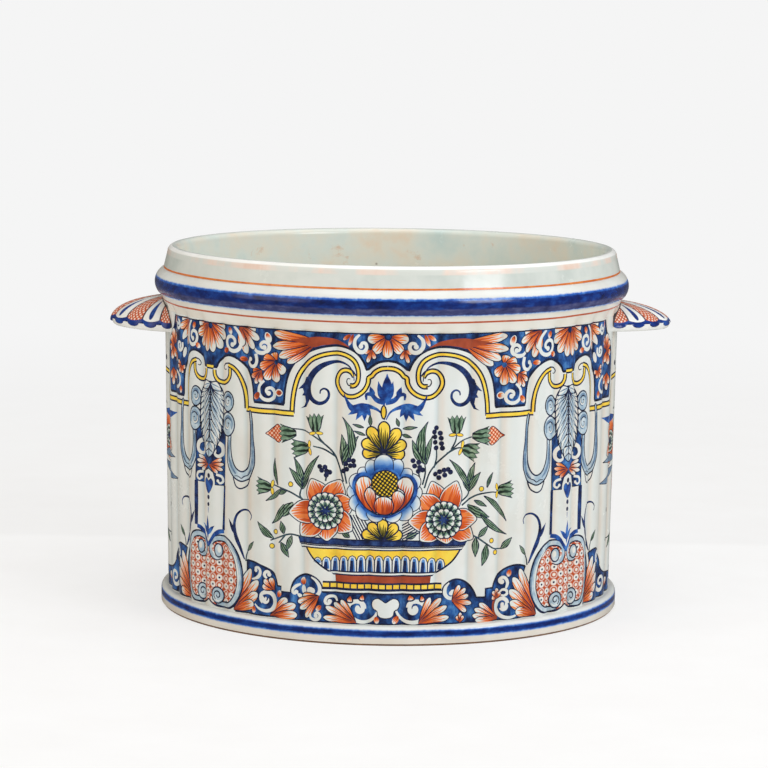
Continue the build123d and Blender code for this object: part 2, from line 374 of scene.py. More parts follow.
def fired(name, paint, roughness=0.2):
    """Fired tin glaze over a paint: a glassy skin with a faint orange peel."""
    material = bpy.data.materials.new(name)
    material.use_nodes = True
    tree = material.node_tree
    tree.nodes.clear()
    place = add(tree, "ShaderNodeTexCoord", out="Object")
    peel = add(tree, "ShaderNodeTexNoise", place, at={"Scale": 1000 / 7, "Detail": 3})
    wear = add(tree, "ShaderNodeTexNoise", place, at={"Scale": 1000 / 30, "Detail": 5, "Roughness": 0.65})
    gloss = add(tree, "ShaderNodeMapRange", wear, 0.3, 0.7, roughness - 0.05, roughness + 0.1)
    bump = add(tree, "ShaderNodeBump", at={"Strength": 0.25, "Distance": 0.0004, "Height": peel})
    shader = add(tree, "ShaderNodeBsdfPrincipled", at={
        "Base Color": paint(tree), "Roughness": gloss, "IOR": 1.5, "Normal": bump,
    })
    add(tree, "ShaderNodeOutputMaterial", shader)
    return material


# Painted light and shade across the reeds, from crest to crest: painted cool window light where a groove
# faces the window, painted shade with some dirt in the groove, and painted warm bounce light beyond
GROOVE_DIRT_AND_PAINTED_LIGHT = [(0.0, "#f8fafa"), (0.2, "#ffffff"), (0.34, "#ffffff"), (0.4, "#f7fbfc"), (0.46, "#ecf2f5"),
          (0.5, "#e9eae8"), (0.54, "#f3eee8"), (0.62, "#faf1ea"), (0.72, "#fcfaf7"), (0.85, "#f8fafa")]
GLAZE = mottled([(0.3, "#dad9d2"), (0.5, "#e0e3df"), (0.7, "#e2e7e6")], 45)
YELLOW = mottled([(0.3, "#efc030"), (0.6, "#fad94e")], 10)
GREEN = mottled([(0.35, "#527058"), (0.52, "#78967c"), (0.72, "#acc0a8")], 4)

PAINTS = {
    # Tin glaze: warm white, cloudy where it lies thin
    "glaze": GLAZE,
    # Cobalt ground: brushed in patches, darker where two strokes cross
    "ground": mottled([(0.34, "#08123a"), (0.46, "#153468"), (0.57, "#25589c"), (0.72, "#5490ca")], 6,
                      (1, 1, 0.6)),
    # Manganese and cobalt line: nearly black, blue where it runs thin
    "line": mottled([(0.35, "#0a1228"), (0.7, "#202e56")], 6),
    # Thin cobalt wash
    "wash": mottled([(0.3, "#8aa6be"), (0.5, "#b0c5d2"), (0.7, "#d8e1e5")], 6),
    # Cobalt laid on at half strength
    "azure": mottled([(0.3, "#2f66b0"), (0.55, "#4f86c8"), (0.75, "#8bb2dc")], 6),
    # Cobalt strokes from a loaded brush
    "cobalt": mottled([(0.3, "#0c1d54"), (0.46, "#17408c"), (0.6, "#2a66b8"), (0.76, "#5b96d6")], 6),
    # Cobalt laid on thick
    "navy": mottled([(0.3, "#070f2c"), (0.5, "#14295e"), (0.74, "#34589a")], 6),
    # Iron red, flat
    "rust": mottled([(0.3, "#8a3a22"), (0.6, "#ac4c2e")], 8),
    # Antimony yellow
    "yellow": YELLOW,
    # Copper green, with dark strokes along the leaf
    "leaf": stroked(GREEN, [(0.1, "#14231c"), (0.9, "#2c4436")], 3.6, 1.0, 0.52),
    # Stems: a dark green-blue line, paler where the brush ran dry
    "stem": mottled([(0.35, "#162232"), (0.65, "#3a5460")], 6),
    # Grey-blue of the plumes
    "plume": mottled([(0.3, "#4a6688"), (0.55, "#7490ac"), (0.75, "#a6bbcb")], 5),
    # Berries
    "berry": mottled([(0.35, "#0b0f24"), (0.65, "#232c58")], 3),
    # Iron-red palmettes: strokes from the root, left white at the tip
    "petal": stroked(GLAZE, [(0.0, "#9a3814"), (0.28, "#d65a18"), (0.8, "#ec8a3e")], 4.6, 0.9, 1.08, 0.16),
    # Iron-red flowers: the same strokes, run nearly to the edge
    "blossom": stroked(GLAZE, [(0.1, "#a03612"), (0.5, "#d85a1a"), (1.0, "#ea8440")], 9.0, 1.14, 1.3, 0.16),
    # Iron-red bowl of the large flower: fine strokes, with white left at the tips
    "tulip": stroked(GLAZE, [(0.1, "#a43a16"), (0.5, "#d65c1e"), (1.0, "#ea8a4a")], 9.0, 0.9, 1.16, 0.14),
    # Frill of the large flower: deep cobalt at the bowl, white at the edge
    "frill": shaded([(0.6, "#14408e"), (0.72, "#3570be"), (0.82, "#86aedb"), (0.9, "#c8d8e4"),
                     (0.98, "#e4e6e2")]),
    # Yellow petals with dark strokes from the root
    "yellow_petal": stroked(YELLOW, [(0.0, "#23260f"), (0.6, "#575522")], 6.0, 0.74, 1.0),
    # Small petals of the rosettes, green at the root
    "green_petal": stroked(GLAZE, [(0.0, "#27463a"), (0.4, "#5f8870"), (0.8, "#a9c2b0")],
                           2.0, 0.7, 1.0, 0.05),
    # Ring net of the cartouches: iron-red rings, and white cells with a blue spot
    "lattice": latticed(
        5.7,
        [(0.16, "#141d48"), (0.24, WHITE), (0.54, WHITE), (0.64, "#c9683e"), (0.8, "#b2431f")],
        [(0.22, WHITE), (0.32, "#e2a888"), (0.42, "#b2431f"), (0.54, "#c65a30"), (0.62, WHITE),
         (0.8, "#c65a30")],
        0, 0.83),
    # Seed head: yellow seeds in a dark net
    "honeycomb": latticed(1.9, *[[(0.3, "#f0c832"), (0.52, "#34341f"), (1.0, "#181a18")]] * 2, 35),
    # Inside of the pot: thin grey-green glaze with stains
    "inside": stained(
        mottled([(0.3, "#ccdcd8"), (0.46, "#dce2da"), (0.6, "#e4e0d2"), (0.74, "#e8d4bc")], 38),
        "#d8ae8a", 0.09, 20, "#5a4632"),
    # Netted buds
    "hatch": latticed(1.9, *[[(0.3, "#f3cdb4"), (0.5, "#e08a5c"), (0.7, "#bf4a26")]] * 2, 40),
}

# Glazes of the turned pieces and lugs: cobalt from thin to thick, grey-white tin glaze, bare clay and lines,
# with a painted highlight on the lip, a painted floor reflection on the foot band and painted shade on the
# foot ring
PALE_BLUE = mottled([(0.3, "#7f9fd0"), (0.7, "#b9cbe2")], 6)
BRIGHT_BLUE = mottled([(0.3, "#1c49a4"), (0.5, "#2c66c4"), (0.7, "#5a92de")], 5, (1, 1, 0.5))
DEEP_BLUE = mottled([(0.3, "#041446"), (0.5, "#07266e"), (0.72, "#164698")], 9, (1, 1, 2))
DULL_BLUE = mottled([(0.3, "#242a56"), (0.5, "#3c4272"), (0.72, "#5e648c")], 12, (1, 1, 3))
THIN_GLAZE = mottled([(0.3, "#bfc8c2"), (0.5, "#d0d6d0"), (0.7, "#dcdfd9")], 40)
# Painted highlight along the top of the lip, where the light from above falls
LIP_HIGHLIGHT = mottled([(0.4, "#f0f2ee"), (0.7, "#fafaf8")], 20)
WORN_LIP = mottled([(0.46, "#d4d9d3"), (0.58, "#e6d6ca"), (0.7, "#e2c4b2")], 34, (1, 1, 0.3))
COVE_GLAZE = mottled([(0.3, "#d8d3c6"), (0.5, "#e2dfd5"), (0.7, "#e6e6df")], 40)
# Warm beige of the lower foot band: partly its glaze, partly a painted reflection of the floor
FOOT_GLAZE_AND_FLOOR_REFLECTION = mottled([(0.3, "#d6cfc2"), (0.5, "#dfd9cd"), (0.7, "#e4e0d7")], 40)
LUG_GLAZE = mottled([(0.3, "#e6e6e1"), (0.5, "#eeefeb"), (0.7, "#f3f4f1")], 20)
# Foot ring: brown bare clay, darkened with painted contact shade
BARE_CLAY_AND_SHADE = mottled([(0.35, "#6b4c36"), (0.65, "#8d6a4c")], 5)
COBALT_LINE = mottled([(0.3, "#0a1f66"), (0.5, "#123684"), (0.72, "#2458ac")], 10, (1, 1, 2))
RED_LINE = mottled([(0.3, "#a8482e"), (0.6, "#c2613c")], 5)
ORANGE_LINE = mottled([(0.3, "#c9602c"), (0.6, "#e08440")], 5)


# Brush toolkit
SAMPLE = 1.1
LINE = 0.9
Dab = namedtuple("Dab", "pigment edge root along across")


def curve(points, closed=False):
    """Smooth line through given points, sampled about every SAMPLE millimetres."""
    knots = np.array(points, float)
    if closed:
        ends = np.vstack([knots[-1:], knots, knots[:2]])
    else:
        ends = np.vstack([2 * knots[:1] - knots[1:2], knots, 2 * knots[-1:] - knots[-2:-1]])
    spans = []
    for before, start, stop, after in zip(ends, ends[1:], ends[2:], ends[3:]):
        count = max(2, math.ceil(np.linalg.norm(stop - start) / SAMPLE))
        t = np.arange(count)[:, None] / count
        spans.append(
            start
            + 0.5 * t * (stop - before)
            + t**2 * (before - 2.5 * start + 2 * stop - 0.5 * after)
            + 0.5 * t**3 * (3 * start - before - 3 * stop + after)
        )
    if not closed:
        spans.append(knots[-1:])
    return np.vstack(spans)


def brush(pigment, points, widths, closed=False, smooth=True):
    """One brush stroke along a line, as wide as the widths say from its start to its end."""
    line = curve(points, closed) if smooth else np.array(points, float)
    if closed:
        ahead = np.roll(line, -1, axis=0) - np.roll(line, 1, axis=0)
    else:
        ahead = np.gradient(line, axis=0)
    ahead = ahead / np.maximum(np.linalg.norm(ahead, axis=1), 1e-9)[:, None]
    side = np.column_stack([-ahead[:, 1], ahead[:, 0]])
    steps = np.linalg.norm(np.diff(line, axis=0), axis=1)
    share = np.concatenate([[0], np.cumsum(steps)]) / max(steps.sum(), 1e-9)
    widths = np.atleast_1d(np.array(widths, float))
    half = np.interp(share, np.linspace(0, 1, len(widths)), widths)[:, None] / 2
    left, right = line + side * half, line - side * half
    if closed:
        edge = np.vstack([left, left[:1], right[:1], right[::-1]])
    else:
        edge = np.vstack([left, right[::-1]])
    return [Dab(pigment, edge, line[0], (0, 1), (1, 0))]


def patch(pigment, points, line=LINE, smooth=True, root=(0, 0), along=(0, 1), across=(1, 0)):
    """A filled shape with a dark outline."""
    edge = curve(points, True) if smooth else np.array(points, float)
    dabs = [Dab(pigment, edge, root, along, across)]
    if line:
        dabs += brush("line", edge, line, closed=True, smooth=False)
    return dabs


def blade(pigment, root, tip, width, profile, line=LINE, bend=0.0):
    """A petal or leaf from root to tip; profile gives half widths along it, bend bows it sideways."""
    root, tip = np.array(root, float), np.array(tip, float)
    along = tip - root
    across = np.array([-along[1], along[0]]) / np.linalg.norm(along) * width / 2

    def at(share, half):
        bow = bend * 4 * share * (1 - share)
        return root + along * share + across * (half + bow * np.linalg.norm(along) / width * 2)

    right = [at(share, -half) for share, half in profile]
    left = [at(share, half) for share, half in reversed(profile)]
    points = [at(0, 0)] + right + [at(1, 0)] + left
    return patch(pigment, points, line, True, root, along, across)


def shaped(pigment, points, root, tip, half, line=LINE):
    """A petal of a free outline, with its strokes from root to tip."""
    root, along = np.array(root, float), np.array(tip, float) - np.array(root, float)
    across = np.array([-along[1], along[0]]) / np.linalg.norm(along) * half
    return patch(pigment, points, line, True, root, along, across)


# Half widths along a petal or leaf, as shares of its length and of its half width
ROUND = ((0.18, 0.42), (0.5, 0.86), (0.8, 0.95), (0.95, 0.55))
BUD = ((0.1, 0.6), (0.3, 1.0), (0.6, 0.62), (0.85, 0.2))
OVAL = ((0.08, 0.5), (0.3, 0.92), (0.6, 1.0), (0.85, 0.68))
SPEAR = ((0.2, 0.5), (0.45, 0.95), (0.7, 0.88), (0.9, 0.42))
POINTED = ((0.12, 0.45), (0.38, 1.0), (0.68, 0.72), (0.9, 0.2))


def petal(root, tip, width, pigment="petal", line=LINE):
    """A rounded petal."""
    return blade(pigment, root, tip, width, ROUND, line)


def bud(root, tip, width, pigment="petal"):
    """A small oval petal without an outline."""
    return blade(pigment, root, tip, width, OVAL, 0)


def leaf(root, tip, width, bend=0.0, pigment="leaf", line=0.5):
    """A pointed leaf."""
    return blade(pigment, root, tip, width, POINTED, line, bend)


def disc(pigment, centre, radius, line=LINE, tall=1.0):
    """A round spot of paint, or an upright oval where tall isn't 1."""
    count = max(8, int(radius * 6))
    turn = np.arange(count) * math.tau / count
    edge = np.column_stack([np.cos(turn) * radius, np.sin(turn) * radius * tall]) + np.array(centre)
    dabs = [Dab(pigment, edge, centre, (0, radius * tall), (radius, 0))]
    if line:
        dabs += brush("line", edge, line, closed=True, smooth=False)
    return dabs


def fan(root, tips, width, pigment="petal", line=0.6):
    """A palmette: petals from one root, with a rust line between each two."""
    dabs = [dab for tip in tips for dab in petal(root, tip, width, pigment, line)]
    for one, two in zip(tips, tips[1:]):
        middle = (np.array(one, float) + np.array(two, float)) / 2
        stop = np.array(root) + (middle - np.array(root)) * 0.62
        dabs += brush("rust", [root, stop], (0.7, 0.3), smooth=False)
    return dabs


def curl(points, widths=(1.6, 2.6, 2.8, 2.2, 1.6), pigment="glaze"):
    """A scroll that ends in a drop, left white in the blue ground or drawn in another pigment."""
    return brush(pigment, points, widths) + disc(pigment, points[-1], widths[-1] * 0.85, 0)


def spiral(centre, radius, start, turn, rest=0.25, step=40):
    """Points of a spiral that winds in from radius to a share of it."""
    count = max(3, int(abs(turn) / step))
    points = []
    for index in range(count + 1):
        share = index / count
        angle = math.radians(start + turn * share)
        reach = radius * (1 - share * (1 - rest))
        points.append((centre[0] + reach * math.cos(angle), centre[1] + reach * math.sin(angle)))
    return points


def gilt(points, width=1.4, smooth=True):
    """A yellow band between two dark lines."""
    dark = brush("line", points, width + 2.0, smooth=smooth)
    return dark + brush("yellow", points, width, smooth=smooth)


def moved(dabs, dx=0.0, dy=0.0, sx=1.0, sy=1.0):
    """The same dabs, scaled about the origin and then shifted."""
    scale, shift = np.array([sx, sy]), np.array([dx, dy])
    return [
        Dab(d.pigment, d.edge * scale + shift, np.array(d.root) * scale + shift,
            np.array(d.along) * scale, np.array(d.across) * scale)
        for d in dabs
    ]


def mirrored(dabs, about=0.0, squeeze=1.0):
    """The dabs turned over about an upright line, and squeezed towards it."""
    return moved(dabs, dx=about + squeeze * about, sx=-squeeze)


def both(dabs, about=0.0):
    """The dabs and their mirror image."""
    return dabs + mirrored(dabs, about)


def nudged(dabs):
    """The painter's left half, where the border and the festoons come a little nearer the middle."""
    made = []
    for dab in dabs:
        x, y = dab.edge.T
        slide = np.interp(x, (-150, -125, -88, -38, -12), (0, 1.3, 2.5, 3.0, 0))
        share = np.interp(y, (60, 95), (0, 1))
        made.append(dab._replace(edge=np.column_stack([x + slide * share, y])))
    return made


def leaning(dabs):
    """The dabs of a pilaster, leant outwards towards the foot of the wall."""
    made = []
    for dab in dabs:
        slide = np.interp(dab.edge[:, 1], (98, 150), (2.1, -0.8))
        made.append(dab._replace(edge=dab.edge + np.column_stack([slide, 0 * slide])))
    return made


# Layout of the wall, in millimetres
PILASTER = 124.5
SIDE = 224.0
GROUND_TOP = 187.2
GROUND_FOOT = 12.2
OUTER_SQUEEZE = 0.87


def upright(x):
    """Mirror an x about the pilaster and squeeze it, as the outer half of each pilaster is."""
    return PILASTER + OUTER_SQUEEZE * (PILASTER - x)


# Border edges, from the centre outwards
ARCH = ((0, 171.3), (5, 170.4), (8.8, 168.2), (11.4, 166))
VOLUTE = ((12.8, 165.6), (13.5, 167.8), (15.2, 171), (18.4, 174.8), (23, 177.6), (29, 179.2), (36, 179.4),
          (43, 178.2), (50, 175.6), (56, 171.6), (60.4, 167.2), (63.8, 160.6), (65.8, 152.4), (66.8, 142.4))
PILASTER_ARCH = ((87.8, 142.4), (88.4, 150), (90.2, 157), (94.5, 163.3), (100, 167.3), (106, 168.9),
                 (112, 167.6), (116.5, 164), (118.3, 160.4))
SIDE_ARCH = ((181.5, 138.6), (182.8, 150), (183.6, 160), (182.4, 168), (178.6, 174.4), (175, 180),
             (173.4, GROUND_TOP))


def border_edge():
    """Lower edge of the blue border on the right half."""
    outer = [(upright(x), y) for x, y in PILASTER_ARCH]
    outer[0] = (outer[0][0], 138.6)
    return np.vstack([
        curve(ARCH), curve(VOLUTE), curve(PILASTER_ARCH), [(PILASTER, 160.4)],
        curve(outer[::-1]), curve(SIDE_ARCH),
    ])


def across_middle(edge):
    """The edge of the right half, carried on over the left half."""
    return np.vstack([(edge * (-1, 1))[::-1], edge])


def border_ground():
    """Blue ground of the border, with its dark edge."""
    edge = across_middle(border_edge())
    return patch("ground", edge, 0, smooth=False) + brush("line", edge, 1.5, smooth=False)


def border_bands():
    """Yellow bands that follow the border on the right half."""
    dabs = gilt([(0, 166.8), (4, 166.3), (7.4, 164.4), (9.6, 161.8), (11.4, 160.8), (11.8, 157.6),
                 (13.8, 153.8), (17.2, 151), (21.8, 149.4), (26.6, 149.9), (30.4, 152.6), (32.6, 156.8),
                 (32.2, 161), (29.8, 164.2), (26.2, 165.2), (22.8, 164), (20.8, 161.4)])
    dabs += gilt([(23.8, 155.9), (20.8, 156.1), (18.7, 158.2), (18, 161.8), (18.5, 166.2), (20.8, 170.6),
                  (25.2, 173.5), (31, 174.9), (37, 174.7), (43, 173.3), (49, 170.4), (54, 165.6),
                  (57.4, 160), (59.6, 153), (60.8, 146), (61.4, 137.6)])
    dabs += brush("line", [(22.6, 155.6), (25, 156.4), (26, 158.4), (25.2, 160.2), (23.6, 160)],
                  (0.9, 0.8, 0.5))
    dabs += gilt([(60.2, 137.4), (94.6, 137.4)], 1.9, False)
    inner = gilt([(94.2, 137.6), (94.5, 144), (96, 151), (99, 157.3), (103, 161.3), (108, 163)])
    inner += brush("line", [(107, 164), (110.6, 163.4), (112.6, 161.4), (111.6, 159.8), (109.6, 160.2)],
                   (0.9, 0.8, 0.5))
    inner += gilt([(106.3, 160.8), (106.6, 156.4), (109, 153.2), (113.2, 151.6), (117.4, 152.6),
                   (119.8, 155.6), (120.2, 158.8)])
    inner += gilt([(121, 160.6), (PILASTER, 160.6)], smooth=False)
    dabs += inner + mirrored(inner, PILASTER, OUTER_SQUEEZE)
    dabs += gilt([(upright(94.2), 138), (upright(94.2), 134), (185, 134)], 1.9, False)
    dabs += gilt([(185, 134), (186.6, 141), (190, 146), (196, 149), (206, 150), (224, 150)])
    dabs += disc("berry", (200, 157.4), 1.8, 0)
    return dabs


def comet():
    """Palmette with a long rust tail that lies along a bracket."""
    dabs = fan((45, 181.4), [(64.6, 167.6), (70.6, 170.8), (75.2, 176.8), (74.4, 185)], 6.0)
    dabs += patch("rust", [(24.4, 178.9), (29, 181.6), (36, 183.7), (45, 184.4), (54, 183), (62, 181.6),
                           (54, 179.6), (48, 178), (42, 179.4), (35, 180.3), (29, 179.9)], 0)
    return dabs


def border_flowers():
    """Flowers and white scrolls of the border on the right half."""
    half = fan((0.4, 185.4), [(12.4, 183.6), (8.6, 175.6), (0.2, 172.8)], 6.4)
    half += disc("ground", (0, 185.6), 1.9)
    half += fan((9.6, 177.4), [(14.4, 175.6), (12.4, 169.8), (7.8, 172)], 3.0)
    half += curl([(17.4, 186.6), (20.4, 183.6), (20.6, 179.6), (18, 176.6), (14.6, 176.4), (12.8, 178.8),
                  (13.6, 181.4), (16, 181.4), (16.6, 179.6)], (1.4, 2.4, 2.6, 2.2, 1.8))
    half += bud((21.6, 186.8), (24.8, 179.8), 2.4) + bud((23.4, 186.4), (28.6, 183.2), 2.4)
    half += comet()
    half += blade("glaze", (79, 185), (76.6, 178.8), 4.0, OVAL, 0) + bud((78.6, 184.6), (77, 180), 2.6)
    half += curl([(88, 175.4), (85, 172.8), (80.6, 172.6), (77.4, 174.8), (77.6, 178), (80.4, 179.2),
                  (82.8, 177.4), (81.8, 175.6), (80.2, 175.8)], (1.6, 2.4, 2.4, 2.0, 1.8))
    bloom = (72.6, 167.4)
    half += fan(bloom, [(74.6, 173.2), (80.8, 169.8), (83.4, 163.8), (79.8, 156.4), (72.6, 155),
                        (66, 161.2)], 6.4)
    half += disc("ground", bloom, 1.6, 0)
    half += fan((82, 161.8), [(88.8, 161.4), (89.8, 157.2), (87, 153.4), (83.4, 154)], 3.8)
    half += curl([(86.4, 171.6), (85.6, 167.6), (87, 164.4), (90, 163.8), (92, 166), (90.8, 168)],
                 (2.4, 2.2, 1.6))
    half += bud((93.4, 167.4), (98.6, 167.8), 3.0)
    half += curl([(80.4, 155.8), (83.6, 152.4), (83.8, 148), (81.4, 145), (77.6, 144.2), (74.4, 146),
                  (73.9, 149.2), (75.9, 151.6), (78.6, 151), (79, 149.2), (77.6, 148.4)],
                 (1.4, 2.0, 2.2, 2.0, 1.8))
    half += blade("glaze", (67.6, 149.4), (73.4, 149), 4.4, OVAL, 0) + bud((68.2, 149.4), (72.6, 149), 3.0)
    half += bud((83.8, 148.4), (87.4, 144.2), 3.4)
    pillar = fan((98.6, 187), [(86, 186), (83.4, 180.4), (87.4, 174.2), (93.8, 170.6), (97, 175)], 5.2)
    pillar += curl([(102.6, 187), (98.8, 182.6), (97.6, 177.6), (99.2, 173.4), (103, 171.8), (107, 173),
                    (109, 176.4), (108, 179.6), (105, 180.6), (102.4, 179), (102.2, 176.6), (104.2, 175.6)],
                   (1.6, 2.3, 2.4, 2.2, 1.8))
    pillar += bud((106.8, 186), (104.8, 181.8), 3.0) + bud((107.4, 172.6), (112, 171), 3.2)
    pillar += fan((PILASTER - 0.6, 187.4), [(111, 185.6), (110.4, 178.6), (114.4, 172), (121.2, 169.2)], 6.6)
    half += pillar + mirrored(pillar, PILASTER, OUTER_SQUEEZE)
    half += disc("ground", (PILASTER - 1, 185.6), 1.9, 0.4)
    return half + side_flowers()


def side_flowers():
    """Flowers and white scrolls of the border beside the lug, on the right half."""
    half = curl(spiral((163.6, 182), 3.4, 100, 400, 0.25), (1.6, 1.9, 1.3))
    half += curl(spiral((161.2, 169.4), 4.0, 150, 430, 0.25), (1.8, 2.1, 1.5))
    half += blade("glaze", (153.6, 179.6), (157.2, 173.4), 3.2, OVAL, 0)
    half += blade("glaze", (154.2, 168.8), (156.4, 162.2), 3.2, OVAL, 0)
    half += fan((158.6, 156.6), [(164, 160), (164.6, 156), (162.4, 152.6), (158, 152), (154.8, 156)], 3.2)
    half += curl([(171.4, 152.6), (165.6, 152.2), (161.8, 149.6), (161.4, 146), (164.6, 143.2),
                  (169.4, 142.8), (172, 145), (170.6, 147.2)], (1.4, 2.1, 2.1, 1.5))
    half += bud((160.4, 144.4), (160.4, 139.6), 3.2) + bud((167.8, 164.4), (167, 158.6), 3.0)
    half += bud((168.4, 187), (167.6, 182.6), 3.0) + bud((169.4, 177), (168, 171.6), 3.0)
    half += fan((176.2, 167.6), [(171.4, 175.6), (176, 178.4), (180.4, 173.6), (181.4, 165.4),
                                 (178.6, 158.6), (173.4, 160.4)], 4.8)
    half += fan((176.8, 153.6), [(172.8, 147), (177, 142.6), (180.8, 146.6)], 4.4)
    return half


def leaf_scroll():
    """Cobalt scroll with a torn leaf, inside each bracket."""
    dabs = brush("navy", [(20.9, 159), (21.5, 163), (24, 167.2), (28.6, 169.5), (34, 169.9), (40, 168.4),
                          (45.4, 165), (49.4, 160.2), (51.2, 154.6), (50.4, 149.4), (47.8, 146), (44, 144.6),
                          (40.4, 145.8), (38.3, 149), (38.7, 152.2), (41, 153.6), (43.2, 152.4),
                          (43.5, 150.4)], (0.6, 0.8, 1.4, 2.4, 3.4, 4.0, 3.6, 2.7, 2.0, 1.4, 0.8))
    dabs += patch("navy", [(49.6, 161.4), (52.8, 159.6), (54, 156.4), (57.7, 152.2), (55, 153),
                           (54.2, 150.6), (55.3, 148.6), (53.6, 148.4), (53, 145), (54, 142.4),
                           (56.2, 140.8), (52.6, 141.8), (50.4, 146), (49.6, 152)], 0, smooth=False)
    return dabs


# Height of a plume's curls, as a share of their width
CURL_RISE = 1.18


def plume_curl(centre, radius):
    """Curled side frond of a plume."""
    dabs = disc("wash", centre, radius, 0.9, CURL_RISE)
    strokes = brush("plume", spiral((0, 0), radius * 0.74, -30, 300, 0.6), (0.8, 2.0, 1.2))
    strokes += brush("line", spiral((0, 0), radius * 0.58, 40, 400, 0.2), (0.5, 0.9, 0.6))
    strokes += brush("glaze", spiral((0, 0), radius * 0.5, 150, 220, 0.5), (0.4, 0.9, 0.4))
    return dabs + moved(strokes, *centre, 1.0, CURL_RISE)


# Half widths of a plume by level, from its tip up
PLUME = ((0, 104.4), (3.8, 106.8), (6.4, 110.6), (8.8, 115.6), (10.4, 121), (11.1, 127), (11, 133),
         (11.2, 139), (10.6, 143), (8.6, 146.4), (5.4, 149.3), (2.4, 150.9), (0, 151.2))


def frond(level):
    """One frond of a plume, from its shaft down to a point on its edge."""
    halves, levels = zip(*PLUME)
    tip = (float(np.interp(level, levels, halves)) + 0.4, level)
    root = (0.2, min(level + 1.35 * tip[0], 150.4 - (150 - level) * 0.05))
    middle = ((root[0] + tip[0]) / 2, (root[1] + tip[1]) / 2)
    dabs = blade("glaze", root, tip, 5.6, POINTED, 0.75, 0.06)
    for pigment, slide, width in (("wash", -0.9, 1.3), ("plume", 0.7, 0.8)):
        stop = (tip[0] * 0.86, tip[1] + 1.2 + slide)
        dabs += brush(pigment, [root, (middle[0], middle[1] + slide * 1.3), stop], (0.4, width, 0.3))
    return dabs


def plume():
    """Grey-blue feather on a pilaster, with its fronds, drawn about x = 0."""
    dabs = []
    for centre, radius in (((15.6, 140.5), 5.2), ((16.0, 126.6), 6.2)):
        dabs += both(plume_curl(centre, radius))
    drop = [(7, 124.6), (8.2, 119.4), (6.6, 115), (4, 116.6), (2.4, 123)]
    dabs += both(shaped("glaze", drop, (5, 124), (5, 116), 2))
    dabs += both(brush("plume", [(6, 123), (6.4, 119), (5.6, 117)], (1.6, 1.4, 0.6)))
    outline = list(PLUME) + [(-x, y) for x, y in reversed(PLUME[1:-1])]
    dabs += patch("wash", outline, 0.7)
    for level in (107.5, 111.5, 115.5, 119.5, 123.5, 127.5, 131.5, 135.5, 139.5, 143, 146):
        dabs += both(frond(level))
    dabs += brush("line", [(0, 151), (0, 128), (0.2, 105)], (1.2, 1.3, 0.6))
    return dabs


def ribbon():
    """Festoon that hangs from a pendant to the plume's frond, drawn about the pilaster."""
    dabs = patch("glaze", [(-32.4, 95.8), (-31.5, 92), (-29.5, 89.6), (-26, 88.2), (-23, 89.4), (-21.5, 92),
                           (-20.6, 95.2), (-23, 96), (-30, 96.4)])
    outer = [(-33.9, 136), (-35.2, 130), (-35.8, 120), (-36.8, 113), (-36.9, 105), (-35.1, 100),
             (-32.7, 95.7), (-30.6, 94.2), (-26.5, 92.7), (-22.3, 94), (-20.3, 95.4), (-17.9, 98),
             (-15.7, 102), (-14.9, 106), (-15.2, 112), (-15.9, 118), (-16.5, 121)]
    inner = [(-18.6, 121), (-18.5, 114), (-19.1, 108), (-20.9, 103), (-23.5, 99.9), (-26.9, 98.7),
             (-29.9, 100.5), (-32.1, 104.6), (-33.1, 110), (-33.4, 118), (-33.3, 128), (-32.4, 136)]
    dabs += patch("wash", outer + inner)
    dabs += brush("plume", [(-34.4, 131), (-34.8, 120), (-35.3, 108), (-33.9, 101.6), (-30.6, 97)],
                  (0.9, 1.5, 2.2, 2.4, 1.0))
    dabs += brush("plume", [(-17, 117), (-16.6, 107.4), (-18.8, 101.4), (-22.4, 97)], (0.9, 1.8, 2.2, 0.9))
    dabs += brush("line", [(-34, 100.6), (-31.2, 97.2), (-28.4, 96), (-26.4, 94.6), (-24, 95.8),
                           (-21.4, 95.6)], (0.4, 0.7, 0.4))
    return dabs


def pillar_strip():
    """Blue strip under the plume, with its fans, scrolls and beads, drawn about x = 0."""
    dabs = patch("ground", [(-14, 88), (-6.4, 88), (-6.4, 91), (-4.6, 95.4), (0, 97.4), (4.6, 95.4),
                            (6.4, 91), (6.4, 88), (14, 88), (14, 124), (-14, 124)], 0.8, smooth=False)
    half = fan((0.6, 99.6), [(11.4, 104.4), (12.8, 101.2), (12.4, 97.6), (8.6, 95.4)], 3.0)
    half += curl([(2, 113), (7, 114.2), (11.2, 112.2), (11.8, 108.2), (9, 105.8), (6, 106.6), (5.6, 108.8)])
    half += curl([(7.2, 94.4), (11.4, 93.4), (12.4, 90.6), (10.2, 89.2), (8.6, 90.6)], (1.6, 1.6, 1.2))
    half += leaf((0, 56), (6.8, 62.4), 3.0, 0.05, "cobalt", 0)
    dabs += both(half)
    dabs += brush("navy", [(13.4, 88), (13.4, 74), (13.4, 60.5)], (3.6, 4.0, 3.4))
    dabs += brush("navy", [(-14, 88), (-14, 74), (-14, 60.5)], (2.0, 1.8, 2.0))
    dabs += disc("berry", (0, 92.8), 1.6, 0)
    dabs += patch("cobalt", [(0, 81.8), (4, 86.6), (4.3, 89.8), (2.2, 91.2), (0, 89.6), (-2.2, 91.2),
                             (-4.3, 89.8), (-4, 86.6)], 0.4)
    dabs += disc("berry", (0, 79.4), 1.5, 0) + disc("berry", (0, 75), 1.4, 0)
    dabs += brush("cobalt", [(0, 73), (0, 69.6)], (0.8, 0.4), smooth=False)
    dabs += leaf((0.4, 53.6), (1, 68), 3.6, 0, "cobalt", 0)
    return dabs


